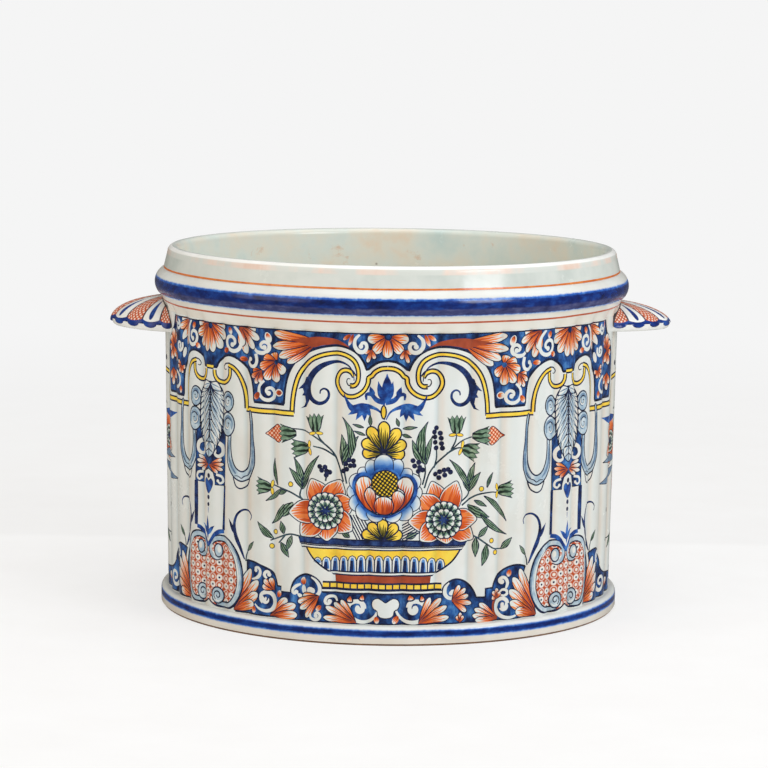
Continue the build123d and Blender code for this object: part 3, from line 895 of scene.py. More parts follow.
def cartouche():
    """Pomegranate cartouche at the foot of a pilaster, drawn about x = 0 with its wider half on the left."""
    half = [(-3.4, 50.6), (-5.4, 54), (-9, 56.6), (-13.6, 57), (-20.4, 55.2), (-25.6, 51), (-29, 45.6),
            (-31, 38), (-31.4, 30), (-29.6, 23), (-25.6, 16.4), (-20.6, 13.2), (-14, 12.8), (-8, 13),
            (-3, 14.6)]
    outer = [(-OUTER_SQUEEZE * x, y) for x, y in reversed(half)]
    dabs = patch("lattice", [(0, 49)] + half + [(0, 16)] + outer, 1.1)
    band = [(-2.6, 49.8), (-5, 53), (-9, 55), (-14, 55.2), (-20, 53), (-24.6, 48.6), (-27.4, 43),
            (-29, 36.6), (-29.2, 30), (-27.4, 23.4), (-23.6, 17.8), (-19, 14.8), (-13.6, 14.4), (-8.4, 15)]
    scrolls = brush("wash", band, (3.0, 3.4, 3.6, 4.0, 4.2, 4.2, 3.8, 3.2, 2.8))
    scrolls += brush("line", scrolls[0].edge, 0.9, closed=True, smooth=False)
    scrolls += brush("glaze", [(-19, 52), (-24.4, 46.6), (-27.2, 39), (-27.8, 30), (-26, 23.4)],
                     (0.4, 1.1, 1.3, 1.0, 0.4))
    scrolls += brush("plume", [(-22, 53), (-27, 47), (-30, 38), (-30.4, 30), (-28.6, 22.6)],
                     (0.4, 0.9, 1.1, 1.0, 0.4))
    scrolls += brush("wash", [(-3.6, 51), (-2.8, 47.4), (-4.8, 44.2), (-8.6, 42.8), (-12, 43.6)],
                     (3.2, 3.0, 2.6, 2.0, 1.0))
    scrolls += brush("line", [(-1.6, 50.2), (-1.3, 46.6), (-3.8, 43), (-8.6, 41.5), (-12.4, 42.6)],
                     (0.9, 0.9, 0.6))
    scrolls += disc("wash", (-10.1, 47.6), 3.3, 0.9, 1.25)
    scrolls += disc("glaze", (-10.7, 48.2), 1.5, 0, 1.4)
    scrolls += disc("wash", (-9, 19.6), 5.0, 0.9)
    scrolls += brush("glaze", spiral((-9, 19.6), 3.9, -150, 300, 0.5), (0.4, 1.1, 0.5))
    scrolls += brush("line", spiral((-9, 19.6), 3.4, -60, 430, 0.2), (0.6, 1.0, 0.6))
    scrolls += brush("cobalt", [(-14.2, 59.8), (-10.6, 59.2), (-6.6, 56.8), (-3.2, 53), (-0.8, 50.6),
                                (0.6, 50.4)], (2.4, 2.8, 2.6, 2.4, 2.6, 2.8))
    return dabs + scrolls + mirrored(scrolls, 0, OUTER_SQUEEZE)


def side_curl():
    """S-curl beside a cartouche, with its two leaves, drawn about the pilaster."""
    dabs = brush("navy", [(-30.6, 45), (-27.6, 52), (-24.2, 59), (-22.8, 66), (-24.6, 72), (-28.8, 75.4),
                          (-33, 75), (-35.6, 72.4), (-34.8, 69.6)], (0.8, 2.0, 3.0, 2.6, 2.0, 1.4, 1.0, 0.6))
    dabs += leaf((-24.2, 59), (-17.4, 69), 2.8, 0, "navy", 0)
    dabs += brush("stem", [(-31.4, 44), (-32, 48), (-33.4, 51.6)], (0.9, 0.6))
    dabs += leaf((-32.6, 50.4), (-38.4, 57), 2.6, 0, "leaf", 0.4)
    return dabs


def pilaster():
    """The whole upright ornament between two pendants, drawn about x = 0."""
    return both(ribbon()) + leaning(pillar_strip() + plume() + cartouche()) + both(side_curl())


# Foot border, upper edge from the centre outwards; the left half was painted a little differently
FOOT_LINE = 30.6
FOOT_HUMP = ((34.6, FOOT_LINE), (35.4, 34.4), (38, 37.3), (42, 39.1), (46.4, 38.6), (50.8, 36.2), (54, 32.6),
             (56.6, 27.3))
FOOT_RISE = ((67.6, 32.4), (68.6, 35.6), (70.6, 39), (74, 42.4), (78, 44.4), (82.4, 45.2), (87, 44.8),
             (91.8, 43.4))
FOOT_BAND = ((91.8, 43.4), (90.4, 38), (90.8, 30), (93.6, 21.6), (99.6, GROUND_FOOT))
LEFT_HUMP = ((38.6, FOOT_LINE), (39, 34), (41.4, 37.6), (45.4, 39.8), (50, 40.4), (54.6, 38.4), (57.8, 34.6),
             (59.6, 28.4))
LEFT_RISE = ((69, 31.6), (70.2, 35.6), (72.6, 39.6), (76, 41.6), (81, 43.2), (86, 44.6), (92, 44.8))
LEFT_BAND = ((92, 44.8), (92, 38), (92.6, 31), (95, 24), (101, GROUND_FOOT))


def foot_edge(hump, notch, rise, band):
    """Upper edge of one half of the foot border, from the centre outwards and down."""
    step = [(notch, hump[-1][1]), (notch, rise[0][1])]
    return np.vstack([[(0, FOOT_LINE)], curve(hump), step, curve(rise), curve(band)])


def foot_ground():
    """Blue ground of the foot border on both halves."""
    right = foot_edge(FOOT_HUMP, 62.4, FOOT_RISE, FOOT_BAND)
    left = foot_edge(LEFT_HUMP, 66.2, LEFT_RISE, LEFT_BAND) * (-1, 1)
    dabs = patch("ground", np.vstack([left[::-1], right]), 1.2, smooth=False)
    rise = [(upright(x) + 2, y) for x, y in FOOT_RISE]
    band = [(upright(x) + 2, y) for x, y in FOOT_BAND]
    side = [(175, 33), (180, 28), (192, 25), (208, 24), (SIDE, 24)]
    outer = np.vstack([curve(band[::-1]), curve(rise[::-1]), curve(side), [(SIDE, GROUND_FOOT)]])
    return dabs + both(patch("ground", outer, 1.0, smooth=False))


def rolled(points, widths, ball, radius, crescent):
    """A white scroll wound round a white ball, with a blue crescent between the two."""
    dabs = brush("glaze", points, widths) + disc("glaze", ball, radius, 0)
    return dabs + brush("ground", crescent, (0.4, 1.1, 1.4, 1.7, 2.2))


def foot_flowers():
    """Flowers and white scrolls of the foot border on the right half."""
    half = rolled([(6.6, 20.4), (8.6, 17), (11.8, 14.4), (15.8, 13.4), (20.2, 14), (23.4, 16.4), (24.5, 20),
                   (23.7, 23.7), (20.8, 25.9), (17, 26.1), (14.5, 24.6), (13.9, 22.4)],
                  (1.4, 1.9, 2.3, 2.7, 2.7, 2.7, 2.6, 2.4), (16.8, 21.2), 3.3,
                  [(16.2, 21.8), (16.6, 23.6), (18.8, 24.4), (21, 23), (21.7, 20)])
    half += fan((20.4, 12.8), [(27.4, 28.6), (34.2, 28), (37.8, 23.2), (39.2, 16.4)], 4.4)
    half += petal((14.8, 30.4), (15.6, 26.6), 4.6) + petal((21.8, 30.2), (22.6, 26.2), 3.4)
    half += bud((7.8, 17.2), (4.8, 12.6), 3.6)
    half += fan((46.2, 12.6), [(43.8, 16.8), (46.4, 18.8), (48.6, 16.6)], 2.8)
    half += curl([(38.8, 37.2), (36.7, 34.4), (36.3, 30.8), (38, 28.3), (40.6, 27.8), (42.7, 29.4),
                  (42.3, 31.9), (40.6, 32), (40.2, 30.8)], (0.8, 1.9, 2.3, 2.2, 2.0, 1.8, 1.7))
    half += fan((40.8, 26), [(45.6, 35.6), (50, 33.2), (52, 28.8), (53.8, 23.8), (50.8, 18.8)], 3.8)
    half += fan((71.6, 12.8), [(58.4, 23.8), (55.4, 20.4), (54.2, 16.4), (56, 13.4)], 4.4)
    half += brush("rust", [(69.4, 25.6), (68.2, 21.6), (69, 17.4), (71.4, 13.4)], (1.8, 1.4, 1.4, 1.8))
    half += rolled([(86.4, 14.8), (82, 13.4), (77.6, 13.3), (73.6, 14.8), (71, 18), (70.7, 21.8),
                    (72.2, 24.4), (74.8, 25.2), (77.2, 24.2), (78.2, 22)], (1.0, 1.8, 2.3, 2.5, 2.5, 2.4),
                   (75.7, 20.3), 3.0, [(76, 20.8), (76.2, 22.6), (74.6, 23.6), (73, 22.4), (72.7, 19.4)])
    half += fan((71.6, 25.6), [(67, 26.2), (67.6, 30.2), (70.8, 32), (73, 29.4)], 3.0)
    half += brush("glaze", [(72.6, 28.8), (74.4, 30.6), (76.8, 30.4), (77.9, 28.4), (76, 27), (73.8, 27.4)],
                  (0.8, 1.7, 1.8, 1.0))
    half += curl([(76.9, 31.4), (77.9, 34.6), (76.6, 37.5), (74.4, 38.2), (72.8, 36.9), (73.2, 35.3),
                  (74.2, 35.5)], (1.4, 2.1, 2.0, 1.9, 1.8))
    half += bud((79.2, 42.8), (78.2, 38.4), 3.2)
    palm = fan((100, 13), [(86.8, 42.6), (81.4, 37.8), (79, 30.2), (79.6, 22.8), (84, 16.6)], 6.4)
    return half + palm


def foot_flowers_left():
    """The same on the left half, turned over."""
    half = rolled([(4.8, 19.6), (6.6, 16.6), (9.8, 14), (14, 13.3), (18.8, 14.8), (22, 18.2), (22.7, 21.8),
                   (21.2, 24.6), (18, 25.8), (14.8, 25.4), (13, 23.4), (12.8, 21.4)],
                  (1.4, 1.9, 2.3, 2.7, 2.7, 2.6, 2.4), (15.4, 21.2), 3.0,
                  [(15, 22), (15.8, 23.6), (17.8, 24), (19.8, 22.4), (20.2, 19.4)])
    half += petal((13.8, 30.2), (14.4, 26.2), 3.6) + petal((21.4, 29.4), (21.8, 25), 4.0)
    half += bud((5.6, 16.8), (5, 12.6), 3.2)
    half += fan((17.8, 12.8), [(27.2, 26.4), (31.8, 24.4), (36.8, 21.8), (38.2, 15.2)], 4.4)
    half += curl([(29.6, 25.4), (30.8, 27.8), (33.4, 28.3), (36, 27.2), (36.9, 24.8), (35.8, 23.4),
                  (34.2, 23.9), (34.2, 25)], (1.2, 1.6, 1.9, 1.9, 1.9, 1.7))
    half += curl([(46, 39), (42.8, 37.2), (40.5, 33.8), (40.5, 30.4), (42.5, 28), (45.6, 27.6), (47.8, 29.3),
                  (47.7, 31.5), (46, 31.9), (45.2, 30.8)], (0.8, 1.9, 2.3, 2.3, 2.1, 2.0, 2.2))
    half += curl([(53, 34.2), (55.6, 33), (57.8, 30.9), (58, 28.9), (56.6, 28.2), (55.8, 29.2)],
                 (1.2, 1.9, 1.8, 1.6, 1.6))
    half += blade("glaze", (51.4, 33.8), (50.4, 27.6), 2.8, OVAL, 0)
    half += blade("glaze", (51.6, 25.8), (55, 28.2), 2.2, OVAL, 0)
    half += bud((51.4, 33.8), (51.2, 38.6), 3.2)
    half += fan((40.8, 27.8), [(52, 27), (55, 23), (53.6, 18.8), (50, 13.8)], 4.6)
    half += bud((39.6, 22.2), (42.6, 18.8), 2.8)
    half += curl([(46.8, 16.8), (46.2, 14.2), (43.4, 13.1), (40.8, 14.2), (40.2, 16.4), (41.8, 17.8),
                  (43.2, 16.8), (42.8, 15.6)], (1.4, 1.8, 1.9, 1.8, 1.8, 1.6))
    half += fan((74, 13), [(61.6, 24.8), (56, 21.4), (55, 15.2)], 6.0)
    half += rolled([(85.2, 18.8), (82, 16.4), (77.4, 15.4), (73.4, 16.4), (71.2, 19.8), (71.4, 23.8),
                    (73.7, 26.6), (77, 27), (79.9, 25.3), (80.4, 22.4), (79, 20.6)],
                   (1.0, 1.9, 2.4, 2.6, 2.5, 2.5), (77.4, 22.2), 2.6,
                   [(76.6, 21.6), (75.8, 23.4), (77, 24.9), (78.6, 24)])
    half += fan((71.6, 28.8), [(79.6, 30.6), (78.4, 34.6), (74, 36.2)], 4.0)
    half += bud((68.6, 24.8), (66.6, 29), 3.0)
    half += curl([(76.4, 35.4), (78, 37.4), (76.8, 39.5), (75, 39.3), (74.8, 37.9)], (1.2, 2.1, 2.0, 1.6))
    half += curl([(87.8, 33.8), (84, 34.8), (81.4, 37), (81, 39.8), (82.6, 41.5), (84.6, 41), (84.2, 39.7)],
                 (0.8, 1.7, 2.3, 2.0, 1.6, 1.5))
    half += fan((102, 13), [(88.6, 40), (82.2, 33.4), (82.8, 25.6), (86.2, 19)], 6.6)
    half += bud((86, 17.4), (86.4, 13), 3.2)
    return mirrored(half)


def foot_flowers_outer():
    """Flowers and white scrolls of the foot border beyond the pilaster, on the right half."""
    half = fan((149.6, 13), [(160.4, 41), (165.2, 36.4), (167, 29.4), (166.4, 22.4), (162.6, 16.6)], 5.6)
    half += curl(spiral((177.5, 21.5), 6, 200, 430, 0.2), (2.4, 2.4, 1.4))
    half += curl(spiral((168, 38.5), 4.2, 20, 400, 0.25), (2.0, 2.0, 1.2))
    half += fan((190, 12.8), [(186, 22.4), (191, 24), (196.4, 21.4)], 4.2)
    half += curl(spiral((207, 18.2), 4.8, 160, 420, 0.25), (2.0, 2.0, 1.2))
    half += fan((224, 12.8), [(216.6, 21), (221.6, 23)], 4.2)
    return half


def trefoil():
    """White trefoil in the middle of the foot border."""
    lobe = [(2.4, 26.8), (5, 28), (7.6, 27), (8.7, 24.4), (7.8, 21.6), (5.5, 20.2), (5, 17.8), (3.4, 16.3),
            (0.8, 15.8)]
    return patch("glaze", [(0.2, 25.4)] + lobe + [(0.4 - x, y) for x, y in reversed(lobe)], 0.6)


def basket():
    """Footed bowl that holds the flowers."""
    middle = -2.0
    levels = (43.6, 46.4, 50, 54, 57.4)
    halves = (33, 37.4, 42, 45.4, 47.6)
    bowl = curve(list(zip(halves, levels))[::-1])
    whole = np.vstack([bowl, (bowl * (-1, 1))[::-1]]) + (middle, 0)
    dabs = patch("yellow", whole, 0.9, smooth=False)
    for index in range(17):
        off = (index - 8.4) * 5.35
        x = middle + off
        top = 54 - max(0.0, abs(off) - 14) * 0.09
        foot_in, foot_out = np.interp([abs(off) - 2.6, abs(off) + 2.6], halves, levels)
        way = 1 if off > 0 else -1
        if top - foot_out < 1.2:
            continue
        arch = [(x + way * 2.6, foot_out), (x + way * 2.6, top - 3.2), (x + way * 1.7, top - 0.9), (x, top),
                (x - way * 1.7, top - 0.9), (x - way * 2.6, top - 3.2), (x - way * 2.6, foot_in)]
        dabs += patch("glaze", arch, 0, smooth=False) + brush("line", arch, 0.6, smooth=False)
        dabs += brush("azure", [(x, (foot_in + foot_out) / 2), (x, top - 2.2), (x, top - 1.2)],
                      (3.7, 3.7, 3.2, 1.4), smooth=False)
        dabs += brush("navy", [(x - 0.4, (foot_in + foot_out) / 2), (x - 0.4, top - 3)], (2.4, 2.2, 1.6),
                      smooth=False)
    dabs += brush("line", whole, 1.1, smooth=False)
    dabs += patch("glaze", [(-53.4, 60), (48.4, 59.8), (46.6, 57.2), (-52.4, 57.2)], 0.8, smooth=False)
    dabs += brush("line", [(-53, 58.8), (47.8, 58.7)], 0.7, smooth=False)
    dabs += patch("navy", [(-54.6, 63.2), (51, 62.9), (48.6, 59.6), (-53.6, 59.7)], 0.9, smooth=False)
    dabs += patch("glaze", [(-34.6, 43.7), (30.6, 43.7), (28.6, 41.8), (-32, 41.8)], 0.9, smooth=False)
    dabs += patch("rust", [(-31, 41.6), (27.6, 41.6), (27, 37), (-30.6, 37)], 0.5, smooth=False)
    dabs += patch("yellow", [(-38.4, 36.8), (34.2, 36.8), (34.2, 33.2), (-38.4, 33.2)], 1.2, smooth=False)
    dabs += patch("glaze", [(-39, 32.6), (34.6, 32.6), (34.6, 30.8), (-39, 30.8)], 0.7, smooth=False)
    for index in range(1, 17):
        x = -38.4 + index * 72.6 / 17
        dabs += brush("line", [(x, 36.8), (x, 33.2)], 0.9, smooth=False)
    return dabs


FRILL_CENTRE = (-1.4, 92.0)
FRILL = ((-23.8, 92.4, 11), (21.4, 92.6, 11), (-22.2, 83.6, 11), (20.2, 84.2, 11), (-22.2, 100.4, 11),
         (20.2, 100.6, 11), (-16.8, 76.8, 12), (14.6, 76.6, 11), (-8.6, 74.6, 11), (6.0, 74.6, 11),
         (-16.6, 106.4, 8.4), (14.8, 106.0, 8.0), (-10.8, 111.4, 9), (8.0, 112.2, 9), (-2.0, 115.2, 12))
BOWL = ((-1.6, 78.8), (-7.6, 79.6), (-13.6, 84.0), (-17.4, 90.0), (-18.6, 96.0), (-16.4, 100.8),
        (-12.0, 101.6), (-8.6, 99.0), (-1.0, 100.0), (6.2, 99.0), (9.6, 101.6), (13.6, 100.8), (16.0, 96.0),
        (15.4, 90.0), (11.6, 84.0), (4.8, 79.6))


def peony():
    """Large flower in the middle of the basket: a frill round a bowl of petals and a seed head."""
    dabs = []
    for x, y, width in FRILL:
        dabs += petal(FRILL_CENTRE, (x, y), width, "frill", 0.55)
    edge = [(x * 1.06 + 0.1, 91 + (y - 91) * 1.08) for x, y in BOWL]
    dabs += brush("cobalt", edge, (0.8, 2.6, 1.6, 0.9, 2.2, 3.4, 3.0, 1.2, 0.8, 2.0, 3.2, 2.6, 1.4, 0.8,
                                   2.4), closed=True)
    turn = np.linspace(0, math.tau, 30, endpoint=False)
    crown = np.column_stack([-0.9 + 9.6 * np.sin(turn), 98.0 + 9.4 * np.cos(turn)])
    dabs += patch("cobalt", crown, 0, smooth=False)
    dabs += patch("glaze", BOWL, 0.7)
    heart = np.column_stack([-0.9 + 8.3 * np.sin(turn), 97.5 + 8.1 * np.cos(turn)])
    dabs += patch("honeycomb", heart, 0.7, smooth=False)
    left = [(-5.6, 79.8), (-11.4, 81.8), (-15.8, 87), (-18.2, 92), (-18.6, 97), (-16.2, 101), (-12.2, 101.6),
            (-9.2, 99.2), (-9.6, 96.2), (-12.6, 93.4), (-13, 89.6), (-9.6, 83.6)]
    right = [(2.6, 79.8), (8.4, 81.6), (13.2, 86.4), (15.6, 91.6), (16.2, 96.6), (13.8, 100.8), (9.8, 101.2),
             (6.4, 98.6), (7.2, 95), (10.4, 92.6), (10.8, 88.6), (7.6, 83.2)]
    dabs += shaped("tulip", left, (-7, 78), (-12.2, 103), 7.0, 0.7)
    dabs += shaped("tulip", right, (4, 78), (9.6, 103), 7.0, 0.7)
    left = [(-6.6, 79.8), (-10.4, 83.8), (-13.2, 89), (-12.9, 92.8), (-10.8, 95), (-8, 93.6), (-6.4, 90.4),
            (-6.8, 85)]
    right = [(3.6, 79.8), (8, 82.6), (10.7, 87), (10.6, 90.6), (7.6, 93.2), (4.4, 92.6), (3.2, 89.6),
             (3.8, 85)]
    dabs += shaped("tulip", left, (-6.6, 78.6), (-10.6, 96), 4.6, 0.7)
    dabs += shaped("tulip", right, (3.6, 78.6), (7, 94.6), 4.6, 0.7)
    front = [(-1.6, 78.8), (2.4, 79.7), (4.3, 83.2), (3.2, 87.6), (0.4, 89.6), (-3.6, 89.6), (-6.4, 87.6),
             (-7.4, 83.4), (-5.4, 79.9)]
    return dabs + shaped("tulip", front, (-1.6, 77.6), (-1.6, 91), 5.8, 0.7)


def yellow_palmette(root, tips, width):
    """Fan of yellow petals on a dark root."""
    dabs = []
    for tip in tips:
        dabs += petal(root, tip, width, "yellow_petal")
    return dabs + disc("berry", root, 1.5, 0)


def rosette(centre, tips, width, size=1.0):
    """Orange flower with two rings of small white and green petals."""
    dabs = []
    for tip in tips:
        margin = centre + (np.array(tip, float) - centre) * 1.07
        dabs += blade("glaze", centre, margin, width * 1.1, SPEAR, 0.6)
        dabs += blade("blossom", centre, tip, width, SPEAR, 0)
    dabs += disc("leaf", centre, 11.0 * size)
    for count, inner, outer, wide in ((17, 6.8, 11.4, 3.6), (11, 2.4, 7.0, 3.4)):
        for index in range(count):
            turn = math.tau * (index + 0.3) / count
            ray = np.array([math.cos(turn), math.sin(turn)]) * size
            dabs += petal(centre + ray * inner, centre + ray * outer, wide * size, "green_petal", 0.6 * size)
    for index in range(6):
        turn = math.tau * index / 6
        tip = centre + np.array([math.cos(turn), math.sin(turn)]) * 3.4 * size
        dabs += leaf(centre, tip, 1.6 * size, 0, "navy", 0)
    return dabs + disc("navy", centre, 1.6 * size, 0)


# Toothed bell, as shares of its length: sideways and ahead
BELL = ((-0.14, 0), (-0.32, 0.3), (-0.42, 0.66), (-0.54, 1.0), (-0.37, 0.86), (-0.27, 1.07), (-0.12, 0.88),
        (0.02, 1.1), (0.14, 0.88), (0.3, 1.05), (0.37, 0.84), (0.54, 0.96), (0.42, 0.64), (0.32, 0.3),
        (0.14, 0))


def bell(root, direction, size):
    """Green bell with a toothed mouth."""
    root = np.array(root, float)
    turn = math.radians(direction)
    ahead = np.array([math.cos(turn), math.sin(turn)]) * size
    side = np.array([-ahead[1], ahead[0]])
    points = [root + side * off + ahead * far for off, far in BELL]
    return patch("leaf", points, 0.55, False, root, ahead, side * 0.5)


def thistle(root, direction, size=10.6):
    """Green thistle head with yellow sepals."""
    root = np.array(root, float)
    dabs = bell(root, direction, size)
    for spread in (-98, 98):
        turn = math.radians(direction + spread)
        tip = root + 4.6 * np.array([math.cos(turn), math.sin(turn)])
        dabs += blade("yellow", root, tip, 1.9, OVAL, 0.35)
    return dabs


def berries(points, radius=1.6):
    """Dark berries of a spray."""
    return [dab for point in points for dab in disc("berry", point, radius, 0)]


def stem(points, width=1.05):
    """A thin stem that tapers at its end."""
    return brush("stem", points, (width, width, width * 0.7))


def leaves(root, tips, width, bend=0.06):
    """Leaves from one root, bowed outwards."""
    dabs = []
    for tip in tips:
        way = 1 if tip[0] > root[0] else -1
        dabs += leaf(root, tip, width, bend * way)
    return dabs


def hatched_bud(root, tip, width):
    """Netted bud in a toothed cup."""
    edge = blade("hatch", root, tip, width, BUD, 0)[0].edge
    dabs = patch("hatch", edge, 0.5, smooth=False)
    root, tip = np.array(root, float), np.array(tip, float)
    way = tip - root
    heel = root - way / np.linalg.norm(way) * 8.6
    return dabs + bell(heel, math.degrees(math.atan2(way[1], way[0])), 10.6)


def bouquet_stems():
    """Stems of the bouquet."""
    dabs = stem([(-26, 98), (-29, 108), (-33, 116), (-41, 122.6), (-51, 127.6), (-59, 128.4)])
    dabs += stem([(-38, 120.6), (-41, 124), (-42.4, 128)]) + stem([(-31, 113), (-38, 117.2), (-45, 118.6)])
    dabs += stem([(-24, 97), (-25.4, 104), (-25.6, 110)])
    dabs += stem([(22.6, 95), (25.6, 104), (31, 110.6), (38, 117), (45, 122.8), (52, 125)])
    dabs += stem([(38.6, 118), (41, 122.6), (42, 127)]) + stem([(36, 115.6), (41.6, 118.6), (46, 118.8)])
    dabs += stem([(28.4, 107), (30, 113), (29.8, 119)]) + stem([(21.4, 97), (23, 104), (22.6, 111)])
    dabs += stem([(-50, 84), (-53.6, 88), (-52, 95)]) + stem([(45, 86), (50, 90), (51, 95)])
    dabs += stem([(-53, 86.4), (-60, 90), (-70, 92.6), (-74, 93)])
    dabs += stem([(46, 84), (55, 89.6), (64, 91), (69, 90.6)])
    dabs += stem([(-52, 63), (-60, 64.2), (-69, 61), (-74, 59)]) + stem([(-63, 63.4), (-66, 60), (-68, 58)])
    dabs += stem([(48, 67), (55, 64.6), (62, 60), (68, 56.4), (74, 56)])
    dabs += stem([(-37, 98), (-36.6, 101), (-37.4, 103)]) + stem([(20, 97), (19.4, 102), (18.8, 106)])
    return dabs


TALL_BOW = -0.16


def bouquet_greens():
    """Leaves of the bouquet."""
    dabs = leaves((-26.4, 108), [(-27.4, 126.6), (-17, 126)], 5.4)
    dabs += leaf((-23.6, 110), (-27, 137), 4.8, TALL_BOW)
    dabs += leaf((23.6, 109.4), (27.4, 126.6), 3.4, 0.05) + leaf((23.4, 109.4), (15, 124), 5.2, 0.06)
    dabs += leaf((23.4, 111), (24.4, 135), 5.4, -TALL_BOW)
    dabs += leaves((-52, 92), [(-57.4, 111.4), (-60.4, 104.6), (-46.6, 104.4)], 4.0)
    dabs += leaf((-52, 94), (-41, 113.2), 3.8, 0.06)
    dabs += leaves((50.8, 92), [(54.2, 109.6), (57.6, 103.6), (45, 103)], 4.0)
    dabs += leaf((50.4, 94), (37.6, 112), 3.8, -0.06)
    dabs += leaf((-13, 126.4), (-20, 129), 1.6) + leaf((-14, 131), (-20.6, 133), 1.6)
    dabs += leaf((-10, 132), (-10.4, 138.6), 2.2)
    dabs += leaf((9, 127), (14.6, 125.4), 2.0) + leaf((9.4, 130.6), (18, 131.6), 2.0)
    dabs += leaf((7, 132), (5.4, 137), 2.0)
    dabs += leaf((-62, 90.4), (-69.6, 88), 2.8) + leaf((-66, 91.4), (-77, 83), 2.8, 0.06)
    dabs += leaf((-68.6, 93), (-71, 109.6), 2.4, 0.06)
    dabs += leaf((54, 86.6), (62, 82.6), 2.6) + leaf((60, 89), (76, 72.6), 3.2, 0.08)
    dabs += leaf((62, 94), (66, 103), 2.4, 0.05)
    dabs += leaf((50, 84), (64, 76), 5.6, -0.08) + leaf((58, 78), (76.4, 64.6), 3.6, -0.06)
    dabs += leaf((-58, 83.6), (-68, 74), 6.0, 0.05) + leaf((-64, 82), (-73, 69.4), 4.4, 0.08)
    dabs += leaf((-72, 60.4), (-82.8, 69.8), 4.2, 0.06) + leaf((-64, 64), (-66.4, 71.6), 4.2)
    dabs += leaf((-66.4, 58.6), (-60.6, 50), 4.6)
    dabs += leaf((-58.6, 63.4), (-62.4, 53.6), 3.6)
    dabs += leaf((57, 64), (63.4, 70.8), 3.4) + leaf((55.4, 64), (55.4, 52), 4.2)
    dabs += leaf((62.4, 59.4), (59.6, 46.4), 4.8, 0.05)
    dabs += leaf((73, 55.8), (80, 62.4), 3.8)
    dabs += leaf((-22, 64.6), (-27.4, 68.6), 3.8) + leaf((12, 64.6), (19, 68), 3.8)
    return dabs


def bouquet_heads():
    """Thistles, buds and berries of the bouquet."""
    dabs = thistle((-43.2, 126.8), 95) + thistle((-47.6, 117.4), 186) + thistle((41.6, 127), 88)
    dabs += thistle((45.4, 118.6), -18) + thistle((-73, 91.4), 178, 10) + thistle((69.6, 91.6), 2, 10)
    dabs += hatched_bud((-64.6, 125), (-77, 124), 11) + hatched_bud((61, 125.4), (73.8, 125), 11.4)
    dabs += berries([(-22.6, 111.4), (-20, 111), (-24.6, 109), (-21.8, 108), (-19.6, 108.2), (-24, 105.8),
                     (-26, 104.6)])
    dabs += berries([(-40.6, 106.6), (-37.4, 106.4), (-39.4, 104.4), (-36.4, 104), (-34.6, 103.4),
                     (-36.6, 101.6)])
    dabs += berries([(29.6, 131), (28.4, 128.6), (32, 127.8), (28.8, 125.6), (32.6, 124.8), (29, 122.4),
                     (32.8, 121.6), (29.6, 119), (33.4, 118.8)])
    dabs += berries([(15.6, 111.6), (19, 110.6), (16.6, 108.4), (19.6, 107.6), (18.8, 105.2), (21.4, 106)])
    dabs += berries([(29.4, 103.2), (32, 104.6), (34.6, 105.6), (37, 106), (31.6, 101), (35, 102.6),
                     (38.4, 104.4)])
    for spot in ((-59.4, 94.6), (-70.4, 64.6), (-73, 55.6), (58.4, 93.4), (66, 61.4), (69, 54)):
        dabs += disc("yellow", spot, 1.5, 0.5)
    return dabs


def fleur():
    """Blue fleur and leaf scrolls at the top of the bouquet."""
    dabs = leaf((0, 145.4), (-0.4, 163.8), 7.0, 0, "cobalt", 0)
    half = leaf((0, 146), (4.4, 159.2), 4.2, -0.05, "cobalt", 0)
    half += brush("cobalt", [(0, 146.4), (5, 147.6), (8.4, 150.8), (11.4, 150.8), (11.4, 147.6)],
                  (3.4, 3.2, 2.6, 2.2, 1.0))
    half += leaf((7, 149), (9.4, 155.8), 3.4, 0, "cobalt", 0)
    half += brush("cobalt", [(0.4, 136), (3, 140.6), (8, 143.2), (14, 143.6), (19.6, 142.6), (23.4, 147.6),
                             (24.8, 151)], (0.6, 1.2, 2.2, 4.4, 4.4, 2.0, 0.5))
    for tip in ((8.6, 137.4), (12.4, 134.8), (17.6, 135.4), (22.4, 138.4)):
        half += leaf((12.4, 144), tip, 3.4, 0, "cobalt", 0)
    dabs += moved(both(half), -1.2)
    dabs += blade("yellow", (-2.2, 136.6), (-2.2, 144.6), 3.0, OVAL)
    return dabs


def bouquet():
    """Flowers in the basket, from the back to the front."""
    dabs = fleur() + bouquet_stems() + bouquet_greens()
    dabs += yellow_palmette((-1.6, 117), [(-14.6, 115.4), (10.6, 114.8), (-15, 122.6), (11.4, 122),
                                          (-11.2, 131.2), (7.2, 130.6), (-2, 135)], 7.2)
    for index in range(7):
        slide = index * 1.7
        dabs += brush("line", [(-25 + slide, 78.4), (-17.4 + slide, 63.6)], 0.75, smooth=False)
        dabs += brush("line", [(9.6, 62 + slide), (22, 69.4 + slide)], 0.75, smooth=False)
    dabs += rosette(np.array((-37.2, 79.8)), [(-45.6, 97.6), (-28.2, 97.8), (-20.4, 86.6), (-21.4, 69.6),
                                              (-36, 62.8), (-52, 64.8), (-59, 77.8)], 13.5)
    dabs += rosette(np.array((35.0, 75.4)), [(27.6, 97.4), (42, 97.4), (20.8, 90.2), (14.6, 74.6),
                                             (21.4, 64), (37, 61.8), (52.6, 64), (54.6, 75.4)], 12.5)
    dabs += yellow_palmette((-1.6, 64), [(-14.6, 67.4), (9.8, 67.4), (-10.6, 73.2), (6.4, 73.2), (-2.2, 76)],
                            6.6)
    dabs += peony() + bouquet_heads()
    return dabs


